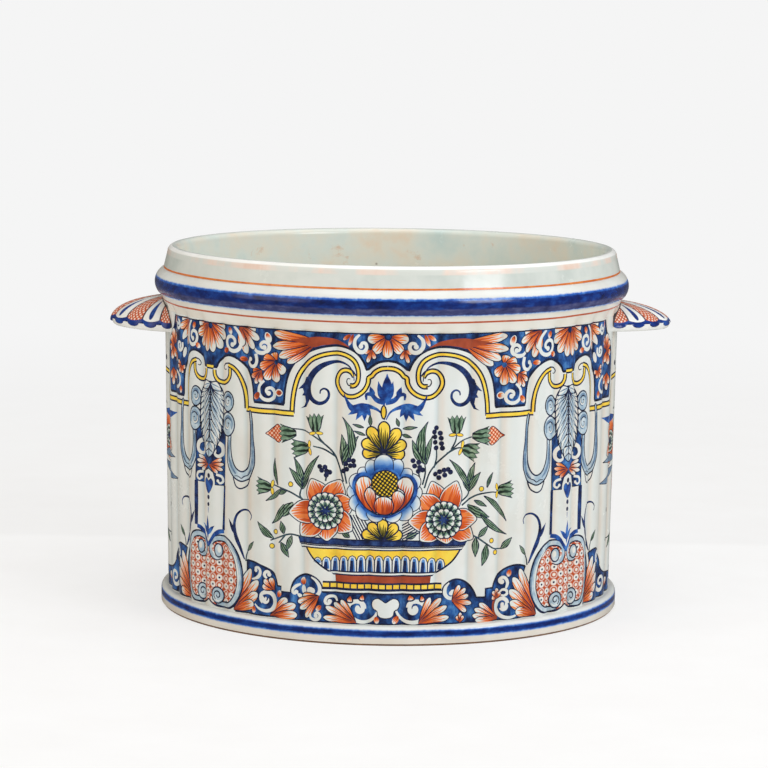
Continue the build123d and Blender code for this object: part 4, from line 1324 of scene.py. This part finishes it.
def side_spray():
    """Hanging spray under each lug, on the right half."""
    dabs = leaves((224, 132), [(206, 140), (200, 128)], 6.0)
    dabs += rosette(np.array((196.0, 108.0)), [(184, 119), (199, 123), (209, 114), (207, 100), (194, 93),
                                               (182, 102)], 9.5, 0.62)
    dabs += leaf((204, 92), (172, 84), 6.0, 0.05, "plume") + leaf((206, 96), (176, 97), 5.4, -0.05, "plume")
    dabs += leaf((204, 124), (172, 126), 6.0, 0.06, "cobalt", 0)
    dabs += fan((224, 84), [(206, 84), (208, 74), (215, 67), (223, 65)], 7.0)
    dabs += stem([(224, 128), (212, 120), (204, 114)]) + stem([(224, 96), (212, 90), (204, 92)])
    dabs += stem([(224, 64), (214, 56), (202, 48), (192, 46)])
    dabs += leaf((214, 56), (204, 62), 3.6) + leaf((204, 49), (196, 40), 3.6)
    dabs += leaf((194, 46), (184, 47), 3.4)
    dabs += berries([(186, 66), (188.4, 64.4), (190.6, 65.6), (189, 62)])
    dabs += petal((224, 112), (214, 118), 6, "yellow_petal")
    dabs += petal((224, 112), (217, 123), 6, "yellow_petal")
    dabs += petal((224, 112), (214.6, 108), 5, "yellow_petal")
    return dabs


def ornament():
    """Every dab of paint on half of the wall, in the order in which it is laid on."""
    dabs = nudged(border_ground() + both(border_flowers() + border_bands() + leaf_scroll()))
    dabs += brush("line", [(-173, GROUND_TOP), (173, GROUND_TOP)], 0.8, smooth=False)
    dabs += foot_ground() + foot_flowers() + foot_flowers_left() + both(foot_flowers_outer()) + trefoil()
    dabs += nudged(both(moved(pilaster(), PILASTER)))
    dabs += basket() + bouquet() + both(side_spray())
    low, high = (-SIDE, GROUND_FOOT - 0.4), (SIDE, GROUND_TOP + 0.5)
    return [dab._replace(edge=np.clip(dab.edge, low, high)) for dab in dabs]


# Painted wall: the flat sheet, cut along every outline
SHEET_RADIUS = SIDE / (math.pi / 2)
COLUMNS_PER_REED = 8
ROW = 9.0


def grid_columns():
    """Places of the upright grid lines, one on every crest and groove of the reeds."""
    return np.linspace(-SIDE, SIDE, REED_COUNT // 2 * COLUMNS_PER_REED + 1)


def cut_sheet(dabs):
    """Corners and triangles of half the wall, cut along the grid and along each dab's outline."""
    points, edges = [], []

    def draw(line, closed):
        first = len(points)
        points.extend(Vector(p) for p in line)
        last = len(points) - 1
        edges.extend((index, index + 1) for index in range(first, last))
        if closed:
            edges.append((last, first))

    for x in grid_columns():
        draw([(x, REED_FOOT), (x, REED_HEAD)], False)
    for y in np.linspace(REED_FOOT, REED_HEAD, round((REED_HEAD - REED_FOOT) / ROW) + 1):
        draw([(-SIDE, y), (SIDE, y)], False)
    for dab in dabs:
        draw(dab.edge, True)
    corners, _, faces, _, _, _ = delaunay_2d_cdt(points, edges, [], 0, 1e-4, False)
    return np.array([tuple(p) for p in corners]), np.array(faces)


def inside(points, edge):
    """Which points an outline winds round."""
    x, y = points.T
    turns = np.zeros(len(points), int)
    for (x0, y0), (x1, y1) in zip(edge, np.roll(edge, -1, axis=0)):
        side = (x1 - x0) * (y - y0) - (x - x0) * (y1 - y0)
        turns += (y0 <= y) & (y < y1) & (side > 0)
        turns -= (y1 <= y) & (y < y0) & (side < 0)
    return turns != 0


def topmost(centres, dabs):
    """Index of the last dab laid over each centre, or -1 where the glaze is bare."""
    found = np.full(len(centres), -1)
    for index, dab in enumerate(dabs):
        low, high = dab.edge.min(0), dab.edge.max(0)
        near = np.flatnonzero(((centres >= low) & (centres <= high)).all(1))
        found[near[inside(centres[near], dab.edge)]] = index
    return found


def brush_places(corners, faces, found, dabs):
    """Where each corner lies in its dab: across it from -1 to 1, and along it from 0 to 1."""
    plain = Dab("glaze", None, (0, 0), (0, 1), (1, 0))
    used = [*dabs, plain]
    frames = [np.array([getattr(dab, part) for dab in used], float)[found] for part in Dab._fields[2:]]
    root, along, across = frames
    away = corners[faces] - root[:, None]
    u = (away * across[:, None]).sum(2) / (across**2).sum(1)[:, None]
    v = (away * along[:, None]).sum(2) / (along**2).sum(1)[:, None]
    return np.stack([u, v], axis=2).reshape(-1, 2)


# Section behind the reeds, from their head over the neck, down the bore and out to their foot
BACK = (
    (NECK_RADIUS, REED_HEAD), (NECK_RADIUS, COLLAR_SEAT), (BORE_RADIUS, COLLAR_SEAT),
    (BORE_FOOT_RADIUS, RING_TOP), (SPIGOT_RADIUS, RING_TOP), (SPIGOT_RADIUS, REED_FOOT),
)


def flat_wall(name, dabs):
    """Half the wall as a flat mesh: the sheet with its paint, and the section behind it."""
    corners, faces = cut_sheet(dabs)
    found = topmost(corners[faces].mean(1), dabs)
    columns = grid_columns()
    strip = [(x, level, radius) for radius, level in BACK for x in columns]
    places = np.vstack([np.column_stack([corners, np.zeros(len(corners))]), strip])

    def along_edge(axis, value):
        on_edge = np.flatnonzero(np.abs(corners[:, axis] - value) < 1e-3)
        return on_edge[np.argsort(corners[on_edge, 1 - axis])]

    count = len(columns)
    rows = [along_edge(1, REED_HEAD)]
    rows += [len(corners) + index * count + np.arange(count) for index in range(len(BACK))]
    rows += [along_edge(1, REED_FOOT)]
    polygons = faces.tolist()
    for lower, upper in zip(rows, rows[1:]):
        polygons += np.column_stack([lower[:-1], lower[1:], upper[1:], upper[:-1]]).tolist()
    backs = rows[1:-1]
    polygons.append([*along_edge(0, -SIDE), *(row[0] for row in backs)])
    polygons.append([*along_edge(0, SIDE), *(row[-1] for row in backs)][::-1])
    mesh = bpy.data.meshes.new(name)
    mesh.from_pydata(places.tolist(), [], polygons)
    names = list(PAINTS)
    pigment = np.full(len(polygons), names.index("inside"), np.int32)
    used = [names.index(d.pigment) for d in dabs] + [names.index("glaze")]
    pigment[:len(faces)] = np.array(used)[found]
    mesh.attributes.new("pigment", "INT", "FACE").data.foreach_set("value", pigment)
    loops = np.zeros(len(mesh.loops), np.int32)
    mesh.loops.foreach_get("vertex_index", loops)
    brushed = np.zeros((len(loops), 2))
    brushed[:faces.size] = brush_places(corners, faces, found, dabs)
    mesh.uv_layers.new(name="brush").uv.foreach_set("vector", brushed.ravel())
    mesh.uv_layers.new(name="OFBake").uv.foreach_set("vector", bake_places(places[loops], faces).ravel())
    return mesh


# Shares of the bake map: its strip, its margin, and the height and foot of each half of the sheet
BAKE_STRIP = 0.04
BAKE_MARGIN = 0.005
BAKE_HALF = 0.46
BAKE_RIGHT = 0.05
BAKE_LEFT = 0.53


def bake_places(places, faces):
    """Bake map: the left half of the sheet above the right half, and the section in a strip below."""
    u = (places[:, 0] + SIDE) / SIDE
    v = (places[:, 1] - REED_FOOT) / (REED_HEAD - REED_FOOT)
    strip = np.clip(places[:, 1] / HEIGHT, 0, 1) * BAKE_STRIP
    uv = np.column_stack([places[:, 0] / (2 * SIDE) + 0.5, strip])
    right = np.repeat(places[:faces.size, 0].reshape(-1, 3).mean(1) > 0, 3)
    sheet = slice(0, faces.size)
    uv[sheet, 0] = np.where(right, u[sheet] - 1, u[sheet]) * (1 - 2 * BAKE_MARGIN) + BAKE_MARGIN
    uv[sheet, 1] = v[sheet] * BAKE_HALF + np.where(right, BAKE_RIGHT, BAKE_LEFT)
    return uv


DRUM_SIZES = ("Sheet Radius", "Foot Level", "Head Level", "Foot Radius", "Head Radius",
              "Reed Count", "Reed Depth", "Turn")


def drum_tree(materials):
    """Node tree that bends the flat wall round the pot and raises the reeds."""
    tree = bpy.data.node_groups.new("reeded drum", "GeometryNodeTree")
    tree.interface.new_socket("Geometry", in_out="INPUT", socket_type="NodeSocketGeometry")
    for name in DRUM_SIZES:
        tree.interface.new_socket(name, in_out="INPUT", socket_type="NodeSocketFloat")
    tree.interface.new_socket("Geometry", in_out="OUTPUT", socket_type="NodeSocketGeometry")
    given = tree.nodes.new("NodeGroupInput").outputs
    flat = add(tree, "ShaderNodeSeparateXYZ", add(tree, "GeometryNodeInputPosition")).node.outputs
    angle = add(tree, "ShaderNodeMath", flat["X"], given["Sheet Radius"], operation="DIVIDE")
    crest = add(tree, "ShaderNodeMapRange", flat["Y"], given["Foot Level"], given["Head Level"],
                given["Foot Radius"], given["Head Radius"])
    phase = add(tree, "ShaderNodeMath", angle, given["Reed Count"], operation="MULTIPLY")
    phase = add(tree, "ShaderNodeMath", phase, math.tau, operation="DIVIDE")
    phase = add(tree, "ShaderNodeMath", phase, 0.5, -0.5, operation="WRAP")
    drop = add(tree, "ShaderNodeMath", phase, phase, operation="MULTIPLY")
    drop = add(tree, "ShaderNodeMath", drop, 4.0, operation="MULTIPLY")
    drop = add(tree, "ShaderNodeMath", drop, given["Reed Depth"], operation="MULTIPLY")
    reeded = add(tree, "ShaderNodeMath", crest, drop, operation="SUBTRACT")
    behind = add(tree, "FunctionNodeCompare", flat["Z"], 0.0, operation="GREATER_THAN")
    radius = add(tree, "GeometryNodeSwitch", behind, reeded, flat["Z"], input_type="FLOAT")
    turned = add(tree, "ShaderNodeMath", angle, given["Turn"], operation="ADD")
    sine = add(tree, "ShaderNodeMath", turned, operation="SINE")
    cosine = add(tree, "ShaderNodeMath", turned, operation="COSINE")
    x = add(tree, "ShaderNodeMath", radius, sine, operation="MULTIPLY")
    y = add(tree, "ShaderNodeMath", radius, cosine, operation="MULTIPLY")
    y = add(tree, "ShaderNodeMath", y, -1.0, operation="MULTIPLY")
    place = add(tree, "ShaderNodeCombineXYZ", x, y, flat["Y"])
    place = add(tree, "ShaderNodeVectorMath", place, at={"Scale": MM}, operation="SCALE")
    shape = add(tree, "GeometryNodeSetPosition", given["Geometry"], at={"Position": place})
    shape = add(tree, "GeometryNodeRealizeInstances", shape)
    pigment = add(tree, "GeometryNodeInputNamedAttribute", "pigment", data_type="INT")
    for index, material in enumerate(materials):
        chosen = add(tree, "FunctionNodeCompare", at={2: pigment, 3: index}, data_type="INT",
                     operation="EQUAL")
        shape = add(tree, "GeometryNodeSetMaterial", shape, chosen, at={"Material": material})
    add(tree, "NodeGroupOutput", shape)
    return tree


def wall_normals(flat, turn):
    """Normals of the reeds, softened in the grooves where the glaze pools."""
    angle = flat[:, 0] / SHEET_RADIUS
    turns = angle * REED_COUNT / math.tau
    phase = turns - np.round(turns)
    soft = 1 - (2 * np.abs(phase)) ** 6
    slope = -REED_DEPTH * 8 * phase * soft * REED_COUNT / math.tau / REED_HEAD_RADIUS
    bent = angle + turn - np.arctan(slope)
    return np.column_stack([np.sin(bent), -np.cos(bent), np.zeros(len(bent))])


def painted_wall(name, flat, tree, turn):
    """Half the wall, bent round the pot and turned to its place."""
    piece = bpy.data.objects.new(name, flat)
    bpy.context.scene.collection.objects.link(piece)
    wrap = piece.modifiers.new("reeded drum", "NODES")
    wrap.node_group = tree
    values = (SHEET_RADIUS, REED_FOOT, REED_HEAD, REED_FOOT_RADIUS, REED_HEAD_RADIUS,
              float(REED_COUNT), REED_DEPTH, turn)
    sizes = dict(zip(DRUM_SIZES, values))
    for socket in tree.interface.items_tree:
        if socket.name in sizes:
            wrap[socket.identifier] = sizes[socket.name]
    ready = piece.evaluated_get(bpy.context.evaluated_depsgraph_get())
    mesh = bpy.data.meshes.new_from_object(ready)
    piece.modifiers.remove(wrap)
    piece.data = mesh
    mesh.name = name
    shape_normals(mesh, np.array([tuple(v.co) for v in flat.vertices]), turn)
    return piece


def shape_normals(mesh, flat, turn):
    """Smooth normals on the reeds and the bore, flat ones elsewhere."""
    skin = wall_normals(flat, turn)
    loops = np.zeros(len(mesh.loops), np.int32)
    mesh.loops.foreach_get("vertex_index", loops)
    sizes = np.zeros(len(mesh.polygons), np.int32)
    mesh.polygons.foreach_get("loop_total", sizes)
    facing = np.zeros(len(mesh.polygons) * 3)
    mesh.polygons.foreach_get("normal", facing)
    normals = np.repeat(facing.reshape(-1, 3), sizes, axis=0)
    firsts = np.cumsum(sizes) - sizes
    on_skin = np.logical_and.reduceat(flat[loops, 2] == 0, firsts) & (sizes == 3)
    on_skin = np.repeat(on_skin, sizes)
    normals[on_skin] = skin[loops[on_skin]]
    on_bore = np.abs(flat[loops, 2] - BORE_FOOT_RADIUS) <= BORE_RADIUS - BORE_FOOT_RADIUS
    on_bore = np.repeat(np.logical_and.reduceat(on_bore, firsts), sizes)
    angle = flat[loops, 0] / SHEET_RADIUS + turn
    inward = np.column_stack([-np.sin(angle), np.cos(angle), np.zeros(len(loops))])
    normals[on_bore] = inward[on_bore]
    mesh.normals_split_custom_set(normals.tolist())


# Turned pieces
TURNS = REED_COUNT * 8
FLUTE_STOP = 3.6


def arc(start, middle, stop, count=14):
    """Points on the circle through three points of a section."""
    (ax, ay), (bx, by), (cx, cy) = start, middle, stop
    d = 2 * (ax * (by - cy) + bx * (cy - ay) + cx * (ay - by))
    a2, b2, c2 = ax * ax + ay * ay, bx * bx + by * by, cx * cx + cy * cy
    centre = np.array([(a2 * (by - cy) + b2 * (cy - ay) + c2 * (ay - by)) / d,
                       (a2 * (cx - bx) + b2 * (ax - cx) + c2 * (bx - ax)) / d])
    radius = math.hypot(ax - centre[0], ay - centre[1])
    first, via, last = (math.atan2(y - centre[1], x - centre[0]) for x, y in (start, middle, stop))
    sweep = (last - first) % math.tau
    if (via - first) % math.tau > sweep:
        sweep -= math.tau
    turn = first + np.linspace(0, 1, count) * sweep
    return [tuple(centre + radius * np.array([math.cos(t), math.sin(t)])) for t in turn]


def collar_section():
    """Section of the collar: radius and level of each point."""
    lip = HEIGHT - LIP_THICKNESS / 2
    outside = BORE_RADIUS + LIP_THICKNESS
    top = arc((outside, lip), (BORE_RADIUS + LIP_THICKNESS / 2, HEIGHT), (BORE_RADIUS, lip))
    foot = [(BORE_RADIUS, COLLAR_SEAT), (NECK_RADIUS, COLLAR_SEAT), (NECK_RADIUS, COLLAR_FOOT)]
    return top + foot + [(COLLAR_FOOT_RADIUS, COLLAR_FOOT)]


def roll_section():
    """Section of the roll."""
    head = (ROLL_HEAD_RADIUS, COLLAR_FOOT)
    bulge = arc((ROLL_FOOT_RADIUS, ROLL_FOOT), (ROLL_RADIUS, ROLL_CREST), head, 24)
    return bulge + [(NECK_RADIUS, COLLAR_FOOT), (NECK_RADIUS, ROLL_FOOT)]


def cove_section():
    """Section of the cove."""
    middle = ((COVE_FOOT_RADIUS + COVE_HEAD_RADIUS) / 2 - COVE_HOLLOW, (REED_HEAD + ROLL_FOOT) / 2)
    hollow = arc((COVE_FOOT_RADIUS, REED_HEAD), middle, (COVE_HEAD_RADIUS, ROLL_FOOT))
    return hollow + [(NECK_RADIUS, ROLL_FOOT), (NECK_RADIUS, REED_HEAD)]


def cove_flutes():
    """Depth of the flutes at each point of the cove's section: they die away over its lower half."""
    radius, level = np.array(cove_section()).T
    head = ROLL_FOOT - FLUTE_STOP
    fade = np.clip((head - level) / (head - REED_HEAD), 0, 1)
    return np.where(radius > NECK_RADIUS + 1, REED_DEPTH * fade, 0.0)


def foot_band_section():
    """Section of the foot band."""
    inner = FOOT_BAND_RADIUS - FOOT_BAND_SHOULDER
    bend = FOOT_BAND_SHOULDER * math.sqrt(0.5)
    low = REED_FOOT - FOOT_BAND_SHOULDER
    shoulder = arc((FOOT_BAND_RADIUS, low), (inner + bend, low + bend), (inner, REED_FOOT))
    behind = [(SPIGOT_RADIUS, REED_FOOT), (SPIGOT_RADIUS, RING_SHOW)]
    return [(FOOT_BAND_RADIUS, RING_SHOW)] + shoulder + behind


def solid(name, places, polygons, material, maps):
    """A piece made from corners in millimetres, with its UV maps, smooth but for its arrises."""
    mesh = bpy.data.meshes.new(name)
    mesh.from_pydata((np.array(places) * MM).tolist(), [], polygons)
    for label, uv in maps.items():
        mesh.uv_layers.new(name=label).uv.foreach_set("vector", np.array(uv, float).ravel())
    mesh.materials.append(material)
    mesh.shade_smooth()
    mesh.set_sharp_from_angle(angle=math.radians(40))
    piece = bpy.data.objects.new(name, mesh)
    bpy.context.scene.collection.objects.link(piece)
    return piece


def turned(name, section, material, flutes=0.0):
    """A ring of clay turned from its section, with flutes of a given depth where the reeds run into it."""
    count = len(section)
    angle = np.arange(TURNS) * math.tau / TURNS
    radius, level = np.array(section).T
    turns = angle * REED_COUNT / math.tau
    groove = 4 * (turns - np.round(turns)) ** 2
    radius = radius - np.outer(groove, flutes * np.ones(count))
    places = np.column_stack([(np.sin(angle)[:, None] * radius).ravel(),
                              (-np.cos(angle)[:, None] * radius).ravel(), np.tile(level, TURNS)])
    polygons, uv = [], []
    for turn in range(TURNS):
        here, there = turn * count, (turn + 1) % TURNS * count
        for at in range(count):
            up = (at + 1) % count
            polygons.append((here + at, there + at, there + up, here + up))
            uv += [(turn / TURNS, at / count), ((turn + 1) / TURNS, at / count),
                   ((turn + 1) / TURNS, (at + 1) / count), (turn / TURNS, (at + 1) / count)]
    return solid(name, places, polygons, material, {"OFBake": uv})


# Shell lugs
SHELL_STEPS = 12
SHELL_DOME_ROWS = 24
SHELL_BACK_RADIUS = 135.2
SHELL_BACK = np.linspace(0.94, -0.94, 9)
LEFT_DOME = 1.9

# Lift and inset of the outlines that round the skirt and the edge of a lug
SKIRT_ROWS = ((0, 4.8), (0.2, 3.8), (0.8, 3.0), (2.0, 2.3), (3.4, 1.8), (4.3, 1.6))
EDGE_ROWS = ((0, 1.5), (0.2, 0.7), (0.7, 0.15))

# The right lug was set a little askew, with its ribs unevenly spread
RIGHT_SEAMS = (-93, -74, -52, -29, -5, 18, 40, 61, 80, 93)
RIGHT_DOME = 1.65
RIGHT_RISE = 13.6
RIGHT_TURN = 3.0
RIGHT_LIFT = 1.3
RIGHT_TILT = 0.05


def shell_rows(dome, height):
    """Level, inset, spread, lobe height, hang and place along the rib of a lug's outlines, from below."""
    edge = SHELL_TOP - SHELL_RISE
    rows = []
    for lift, inset in SKIRT_ROWS:
        rows.append((edge - SHELL_SKIRT + lift, inset, 1.0, 0.0, 0.0, lift / SHELL_SKIRT - 1))
    for lift, inset in EDGE_ROWS:
        rows.append((edge + lift, inset + SHELL_LEDGE, 1.0, SHELL_LOBE, SHELL_HANG, lift / SHELL_RISE))
    for rise in np.linspace(0.1, 0.995, SHELL_DOME_ROWS):
        spread = (1 - rise**dome) ** (1 / dome)
        hang = SHELL_HANG * (1 - rise) ** 3
        rows.append((edge + rise * height, SHELL_LEDGE, spread, SHELL_LOBE, hang, rise))
    return rows


def shell_outline(seams, inset, spread, lobe):
    """Plan of a lug at one height, from its near end round its ribs to its far end."""
    ribs = len(seams) - 1
    across = np.linspace(0, ribs, ribs * SHELL_STEPS + 1)
    turn = np.radians(np.interp(across, np.arange(ribs + 1), seams))
    bulge = 1 - (2 * (across % 1) - 1) ** 2
    cosine, sine = np.abs(np.cos(turn)), np.abs(np.sin(turn))
    fullness = (cosine**SHELL_POINT + sine**SHELL_POINT) ** (-1 / SHELL_POINT)
    drop = inset + lobe - lobe * bulge
    out = SHELL_ROOT + spread * (SHELL_REACH - drop) * fullness * np.cos(turn)
    wide = spread * (SHELL_HALF_WIDTH - drop) * fullness * np.sin(turn)
    return across, bulge, out, wide


def shell_lug(name, side, material, seams, dome, height, turn=0.0, lift=0.0, tilt=0.0):
    """A scallop shell on a smooth skirt, with its root sunk in the wall, set by hand a little askew."""
    places, marks = [], []
    for level, inset, spread, lobe, hang, rib in shell_rows(dome, height):
        across, bulge, out, wide = shell_outline(seams, inset, spread, lobe)
        back = math.atan2(wide[-1], out[-1]) * SHELL_BACK
        out = np.concatenate([out, SHELL_BACK_RADIUS * np.cos(back)])
        wide = np.concatenate([wide, SHELL_BACK_RADIUS * np.sin(back)])
        drop = np.concatenate([hang * bulge, np.zeros(len(back))])
        x = side * (out * math.cos(turn) - wide * math.sin(turn))
        y = side * (out * math.sin(turn) + wide * math.cos(turn))
        places += np.column_stack([x, y, level - drop + lift + tilt * np.maximum(0, -y)]).tolist()
        marks += [(u, rib) for u in across] + [(0.0, -1.0)] * len(back)
    rows = len(shell_rows(dome, height))
    count = len(places) // rows
    polygons = []
    for row in range(rows - 1):
        for at in range(count):
            ahead = (at + 1) % count
            low, high = row * count, (row + 1) * count
            polygons.append((low + at, low + ahead, high + ahead, high + at))
    polygons.append(tuple(range(count))[::-1])
    polygons.append(tuple(range((rows - 1) * count, rows * count)))
    corners = [corner for polygon in polygons for corner in polygon]
    brushed = [marks[corner] for corner in corners]
    bake = [((corner % count) / count, (corner // count) / rows) for corner in corners]
    return solid(name, places, polygons, material, {"brush": brushed, "OFBake": bake})


# Stage, lamps and camera
CAMERA_DISTANCE = 1.975
CAMERA_HEIGHT = 0.399
CAMERA_ASIDE = -0.0042
CAMERA_PITCH = 7.51
CAMERA_TURN = 0.8
CAMERA_ROLL = 0.65
LENS = 146.6

# Lamps: place in metres, watts, size in metres and colour
LAMPS = {
    "window": ((1.6, -1.5, 1.2), 20, 0.9, "#f6f9ff"),
    "bounce": ((-1.6, -1.0, 0.9), 8, 1.4, "#ffeedd"),
    "ceiling": ((0.3, -0.2, 2.2), 24, 2.4, "#fbfcff"),
}
LAMP_AIM = (0, 0, 0.12)
ROOM_COLOUR = "#f8f5f0"
BACKDROP = "#f8f8f8"
SKY_LIGHT = 0.58
SKY_GLINT = 0.16


def place_camera():
    """Camera of the photo: about two metres away, looking slightly down, and not quite level."""
    data = bpy.data.cameras.new("camera")
    data.sensor_width = 36.0
    data.lens = LENS
    camera = bpy.data.objects.new("camera", data)
    bpy.context.scene.collection.objects.link(camera)
    round_pot = Matrix.Rotation(math.radians(CAMERA_TURN), 4, "Z")
    stand = Matrix.Translation((CAMERA_ASIDE, -CAMERA_DISTANCE, CAMERA_HEIGHT))
    tilt = Matrix.Rotation(math.radians(90 - CAMERA_PITCH), 4, "X")
    roll = Matrix.Rotation(math.radians(CAMERA_ROLL), 4, "Z")
    camera.matrix_world = round_pot @ stand @ tilt @ roll
    bpy.context.scene.camera = camera


def place_lamp(name, place, power, size, colour):
    """Soft lamp that faces the pot."""
    data = bpy.data.lights.new(name, "AREA")
    data.energy = power
    data.size = size
    data.color = linear(colour)[:3]
    lamp = bpy.data.objects.new(name, data)
    bpy.context.scene.collection.objects.link(lamp)
    aim = Vector(LAMP_AIM) - Vector(place)
    lamp.matrix_world = Matrix.Translation(place) @ aim.to_track_quat("-Z", "Y").to_matrix().to_4x4()


def light_studio():
    """Cool window light from the right, a warm bounce from the left, and a pale backdrop."""
    world = bpy.data.worlds.new("studio")
    world.use_nodes = True
    tree = world.node_tree
    tree.nodes.clear()
    ray = add(tree, "ShaderNodeLightPath").node.outputs
    sky = add(tree, "ShaderNodeBackground", linear(ROOM_COLOUR), SKY_LIGHT)
    room = add(tree, "ShaderNodeBackground", linear(ROOM_COLOUR), SKY_GLINT)
    backdrop = add(tree, "ShaderNodeBackground", linear(BACKDROP), 1.0)
    light = add(tree, "ShaderNodeMixShader", ray["Is Glossy Ray"], sky, room)
    light = add(tree, "ShaderNodeMixShader", ray["Is Camera Ray"], light, backdrop)
    add(tree, "ShaderNodeOutputWorld", light)
    bpy.context.scene.world = world
    for name, lamp in LAMPS.items():
        place_lamp(name, *lamp)


# Floor: half its width, and where the shadow on it gives way to the pale tone that the camera sees
FLOOR_REACH = 80.0
SHADOW_NEAR = 0.3
SHADOW_FAR = 1.6
PALE_SHARE = 0.62
FLOOR_PAINT = mottled([(0.3, "#f0efed"), (0.7, "#f5f5f4")], 60)
FLOOR_GLINT = "#7c7a76"
FLOOR_TONE = "#fbfbfb"

# Where the photo's floor meets its wall, which is a shade greyer
SKIRTING = 0.2
SKIRTING_BLUR = 0.015
WALL_TONE = "#f5f5f5"


def floor_material():
    """Matt paint that keeps the shadow near the pot, and is plain and pale to the camera further off."""
    material = bpy.data.materials.new("painted floor")
    material.use_nodes = True
    tree = material.node_tree
    tree.nodes.clear()
    paint = FLOOR_PAINT(tree)
    place = add(tree, "ShaderNodeTexCoord", out="Object")
    away = add(tree, "ShaderNodeVectorMath", place, out="Value", operation="LENGTH")
    share = add(tree, "ShaderNodeMapRange", away, SHADOW_NEAR, SHADOW_FAR, PALE_SHARE, 1.0,
                interpolation_type="SMOOTHSTEP")
    ray = add(tree, "ShaderNodeLightPath").node.outputs
    share = add(tree, "ShaderNodeMath", share, ray["Is Camera Ray"], operation="MULTIPLY")
    dim = linear(FLOOR_GLINT)
    paint = add(tree, "ShaderNodeMix", ray["Is Glossy Ray"], at={6: paint, 7: dim}, out=2, data_type="RGBA")
    matt = add(tree, "ShaderNodeBsdfDiffuse", paint)
    behind = add(tree, "ShaderNodeSeparateXYZ", place, out=1)
    behind = add(tree, "ShaderNodeMapRange", behind, SKIRTING, SKIRTING + SKIRTING_BLUR)
    tones = {6: linear(FLOOR_TONE), 7: linear(WALL_TONE)}
    tone = add(tree, "ShaderNodeMix", behind, at=tones, out=2, data_type="RGBA")
    pale = add(tree, "ShaderNodeEmission", tone, 1.0)
    add(tree, "ShaderNodeOutputMaterial", add(tree, "ShaderNodeMixShader", share, matt, pale))
    return material


def lay_floor():
    """Pale floor that keeps the pot's shadow and fills the view behind it."""
    corners = [(x * FLOOR_REACH, y * FLOOR_REACH, 0) for x, y in ((-1, -1), (1, -1), (1, 1), (-1, 1))]
    mesh = bpy.data.meshes.new("floor")
    mesh.from_pydata(corners, [], [(0, 1, 2, 3)])
    mesh.materials.append(floor_material())
    floor = bpy.data.objects.new("floor", mesh)
    bpy.context.scene.collection.objects.link(floor)


# Build
bpy.context.scene.view_settings.view_transform = "Standard"


def settle(piece, node):
    """The piece rides on the pot, and its CAD node is hidden."""
    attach(piece, "root")
    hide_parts(node)


def skin_paint(name):
    """A paint of the wall under the painted light and shade of the reeds, or inside the pot, where there are
    none.
    """
    return PAINTS[name] if name == "inside" else groove_dirt_and_painted_light(PAINTS[name])


MATERIALS = [fired(f"faience, {name}", skin_paint(name)) for name in PAINTS]
DRUM = drum_tree(MATERIALS)
FLAT = flat_wall("painted_wall", ornament())
for name, turn in (("painted_wall_front", 0.0), ("painted_wall_back", math.pi)):
    settle(painted_wall(name, FLAT, DRUM, turn), "reeded_wall")

# Lines run round the turned pieces: foot, head and soft edge in millimetres, and the paint
COLLAR_LINES = (
    (222.0, 225.4, 0.6, WORN_LIP),
    # Painted highlight along the top of the lip
    (225.2, 228.0, 0.3, LIP_HIGHLIGHT),
    (213.0, 214.3, 0.15, ORANGE_LINE),
)
ROLL_LINES = (
    (197.9, 208.8, 0.45, PALE_BLUE),
    (198.4, 208.4, 0.3, BRIGHT_BLUE),
    (198.7, 203.6, 0.4, DULL_BLUE),
    (202.3, 207.4, 0.7, DEEP_BLUE),
)
COVE_LINES = ((193.4, 194.5, 0.15, RED_LINE),)
FOOT_LINES = (
    (7.0, 14.0, 0.6, GLAZE),
    (4.9, 9.8, 0.5, PALE_BLUE),
    (5.3, 9.4, 0.35, BRIGHT_BLUE),
    (6.0, 8.8, 0.6, DEEP_BLUE),
)

# The collar's thin glaze is stained and worn at the lip, with a painted highlight along its top; the cobalt
# of roll and foot runs dark in the middle
collar_paint = parted(PAINTS["inside"], stained(THIN_GLAZE, "#cfc8ba", 0.02, 22))
collar_glaze = fired("worn tin glaze of the collar", banded(collar_paint, COLLAR_LINES, 0.3))
roll_glaze = fired("tin glaze with a cobalt band", banded(GLAZE, ROLL_LINES, 0.3, 0.5), 0.18)
cove_glaze = fired("tin glaze with an iron-red line", banded(COVE_GLAZE, COVE_LINES, 0.4))
# The foot band's lower glaze carries a painted reflection of the floor
foot_glaze = fired("tin glaze with a cobalt line", banded(FOOT_GLAZE_AND_FLOOR_REFLECTION, FOOT_LINES, 0.5, 0.3), 0.14)
shell_glaze = fired("painted tin glaze of the lugs", shell_paint)
settle(turned("rim_collar_turned", collar_section(), collar_glaze), "rim_collar")
settle(turned("roll_turned", roll_section(), roll_glaze), "roll_moulding")
settle(turned("cove_turned", cove_section(), cove_glaze, cove_flutes()), "cove_band")
settle(turned("foot_band_turned", foot_band_section(), foot_glaze), "foot_band")
right_lug = shell_lug("shell_lug_right", 1, shell_glaze, RIGHT_SEAMS, RIGHT_DOME, RIGHT_RISE,
                      math.radians(RIGHT_TURN), RIGHT_LIFT, RIGHT_TILT)
left_lug = shell_lug("shell_lug_left", -1, shell_glaze, SHELL_SEAMS, LEFT_DOME, SHELL_RISE)
settle(right_lug, "shell_handle_right")
settle(left_lug, "shell_handle_left")

# Nodes that keep their own shape
KEPT = {
    "floor_slab": fired("thin glaze of the floor", PAINTS["inside"]),
    # The foot ring's clay is darkened with painted contact shade
    "foot_ring": fired("bare fired clay with painted shade", BARE_CLAY_AND_SHADE, 0.75),
}
for node, material in KEPT.items():
    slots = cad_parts[node].data.materials
    for index in range(len(slots)):
        slots[index] = material

place_camera()
light_studio()
lay_floor()
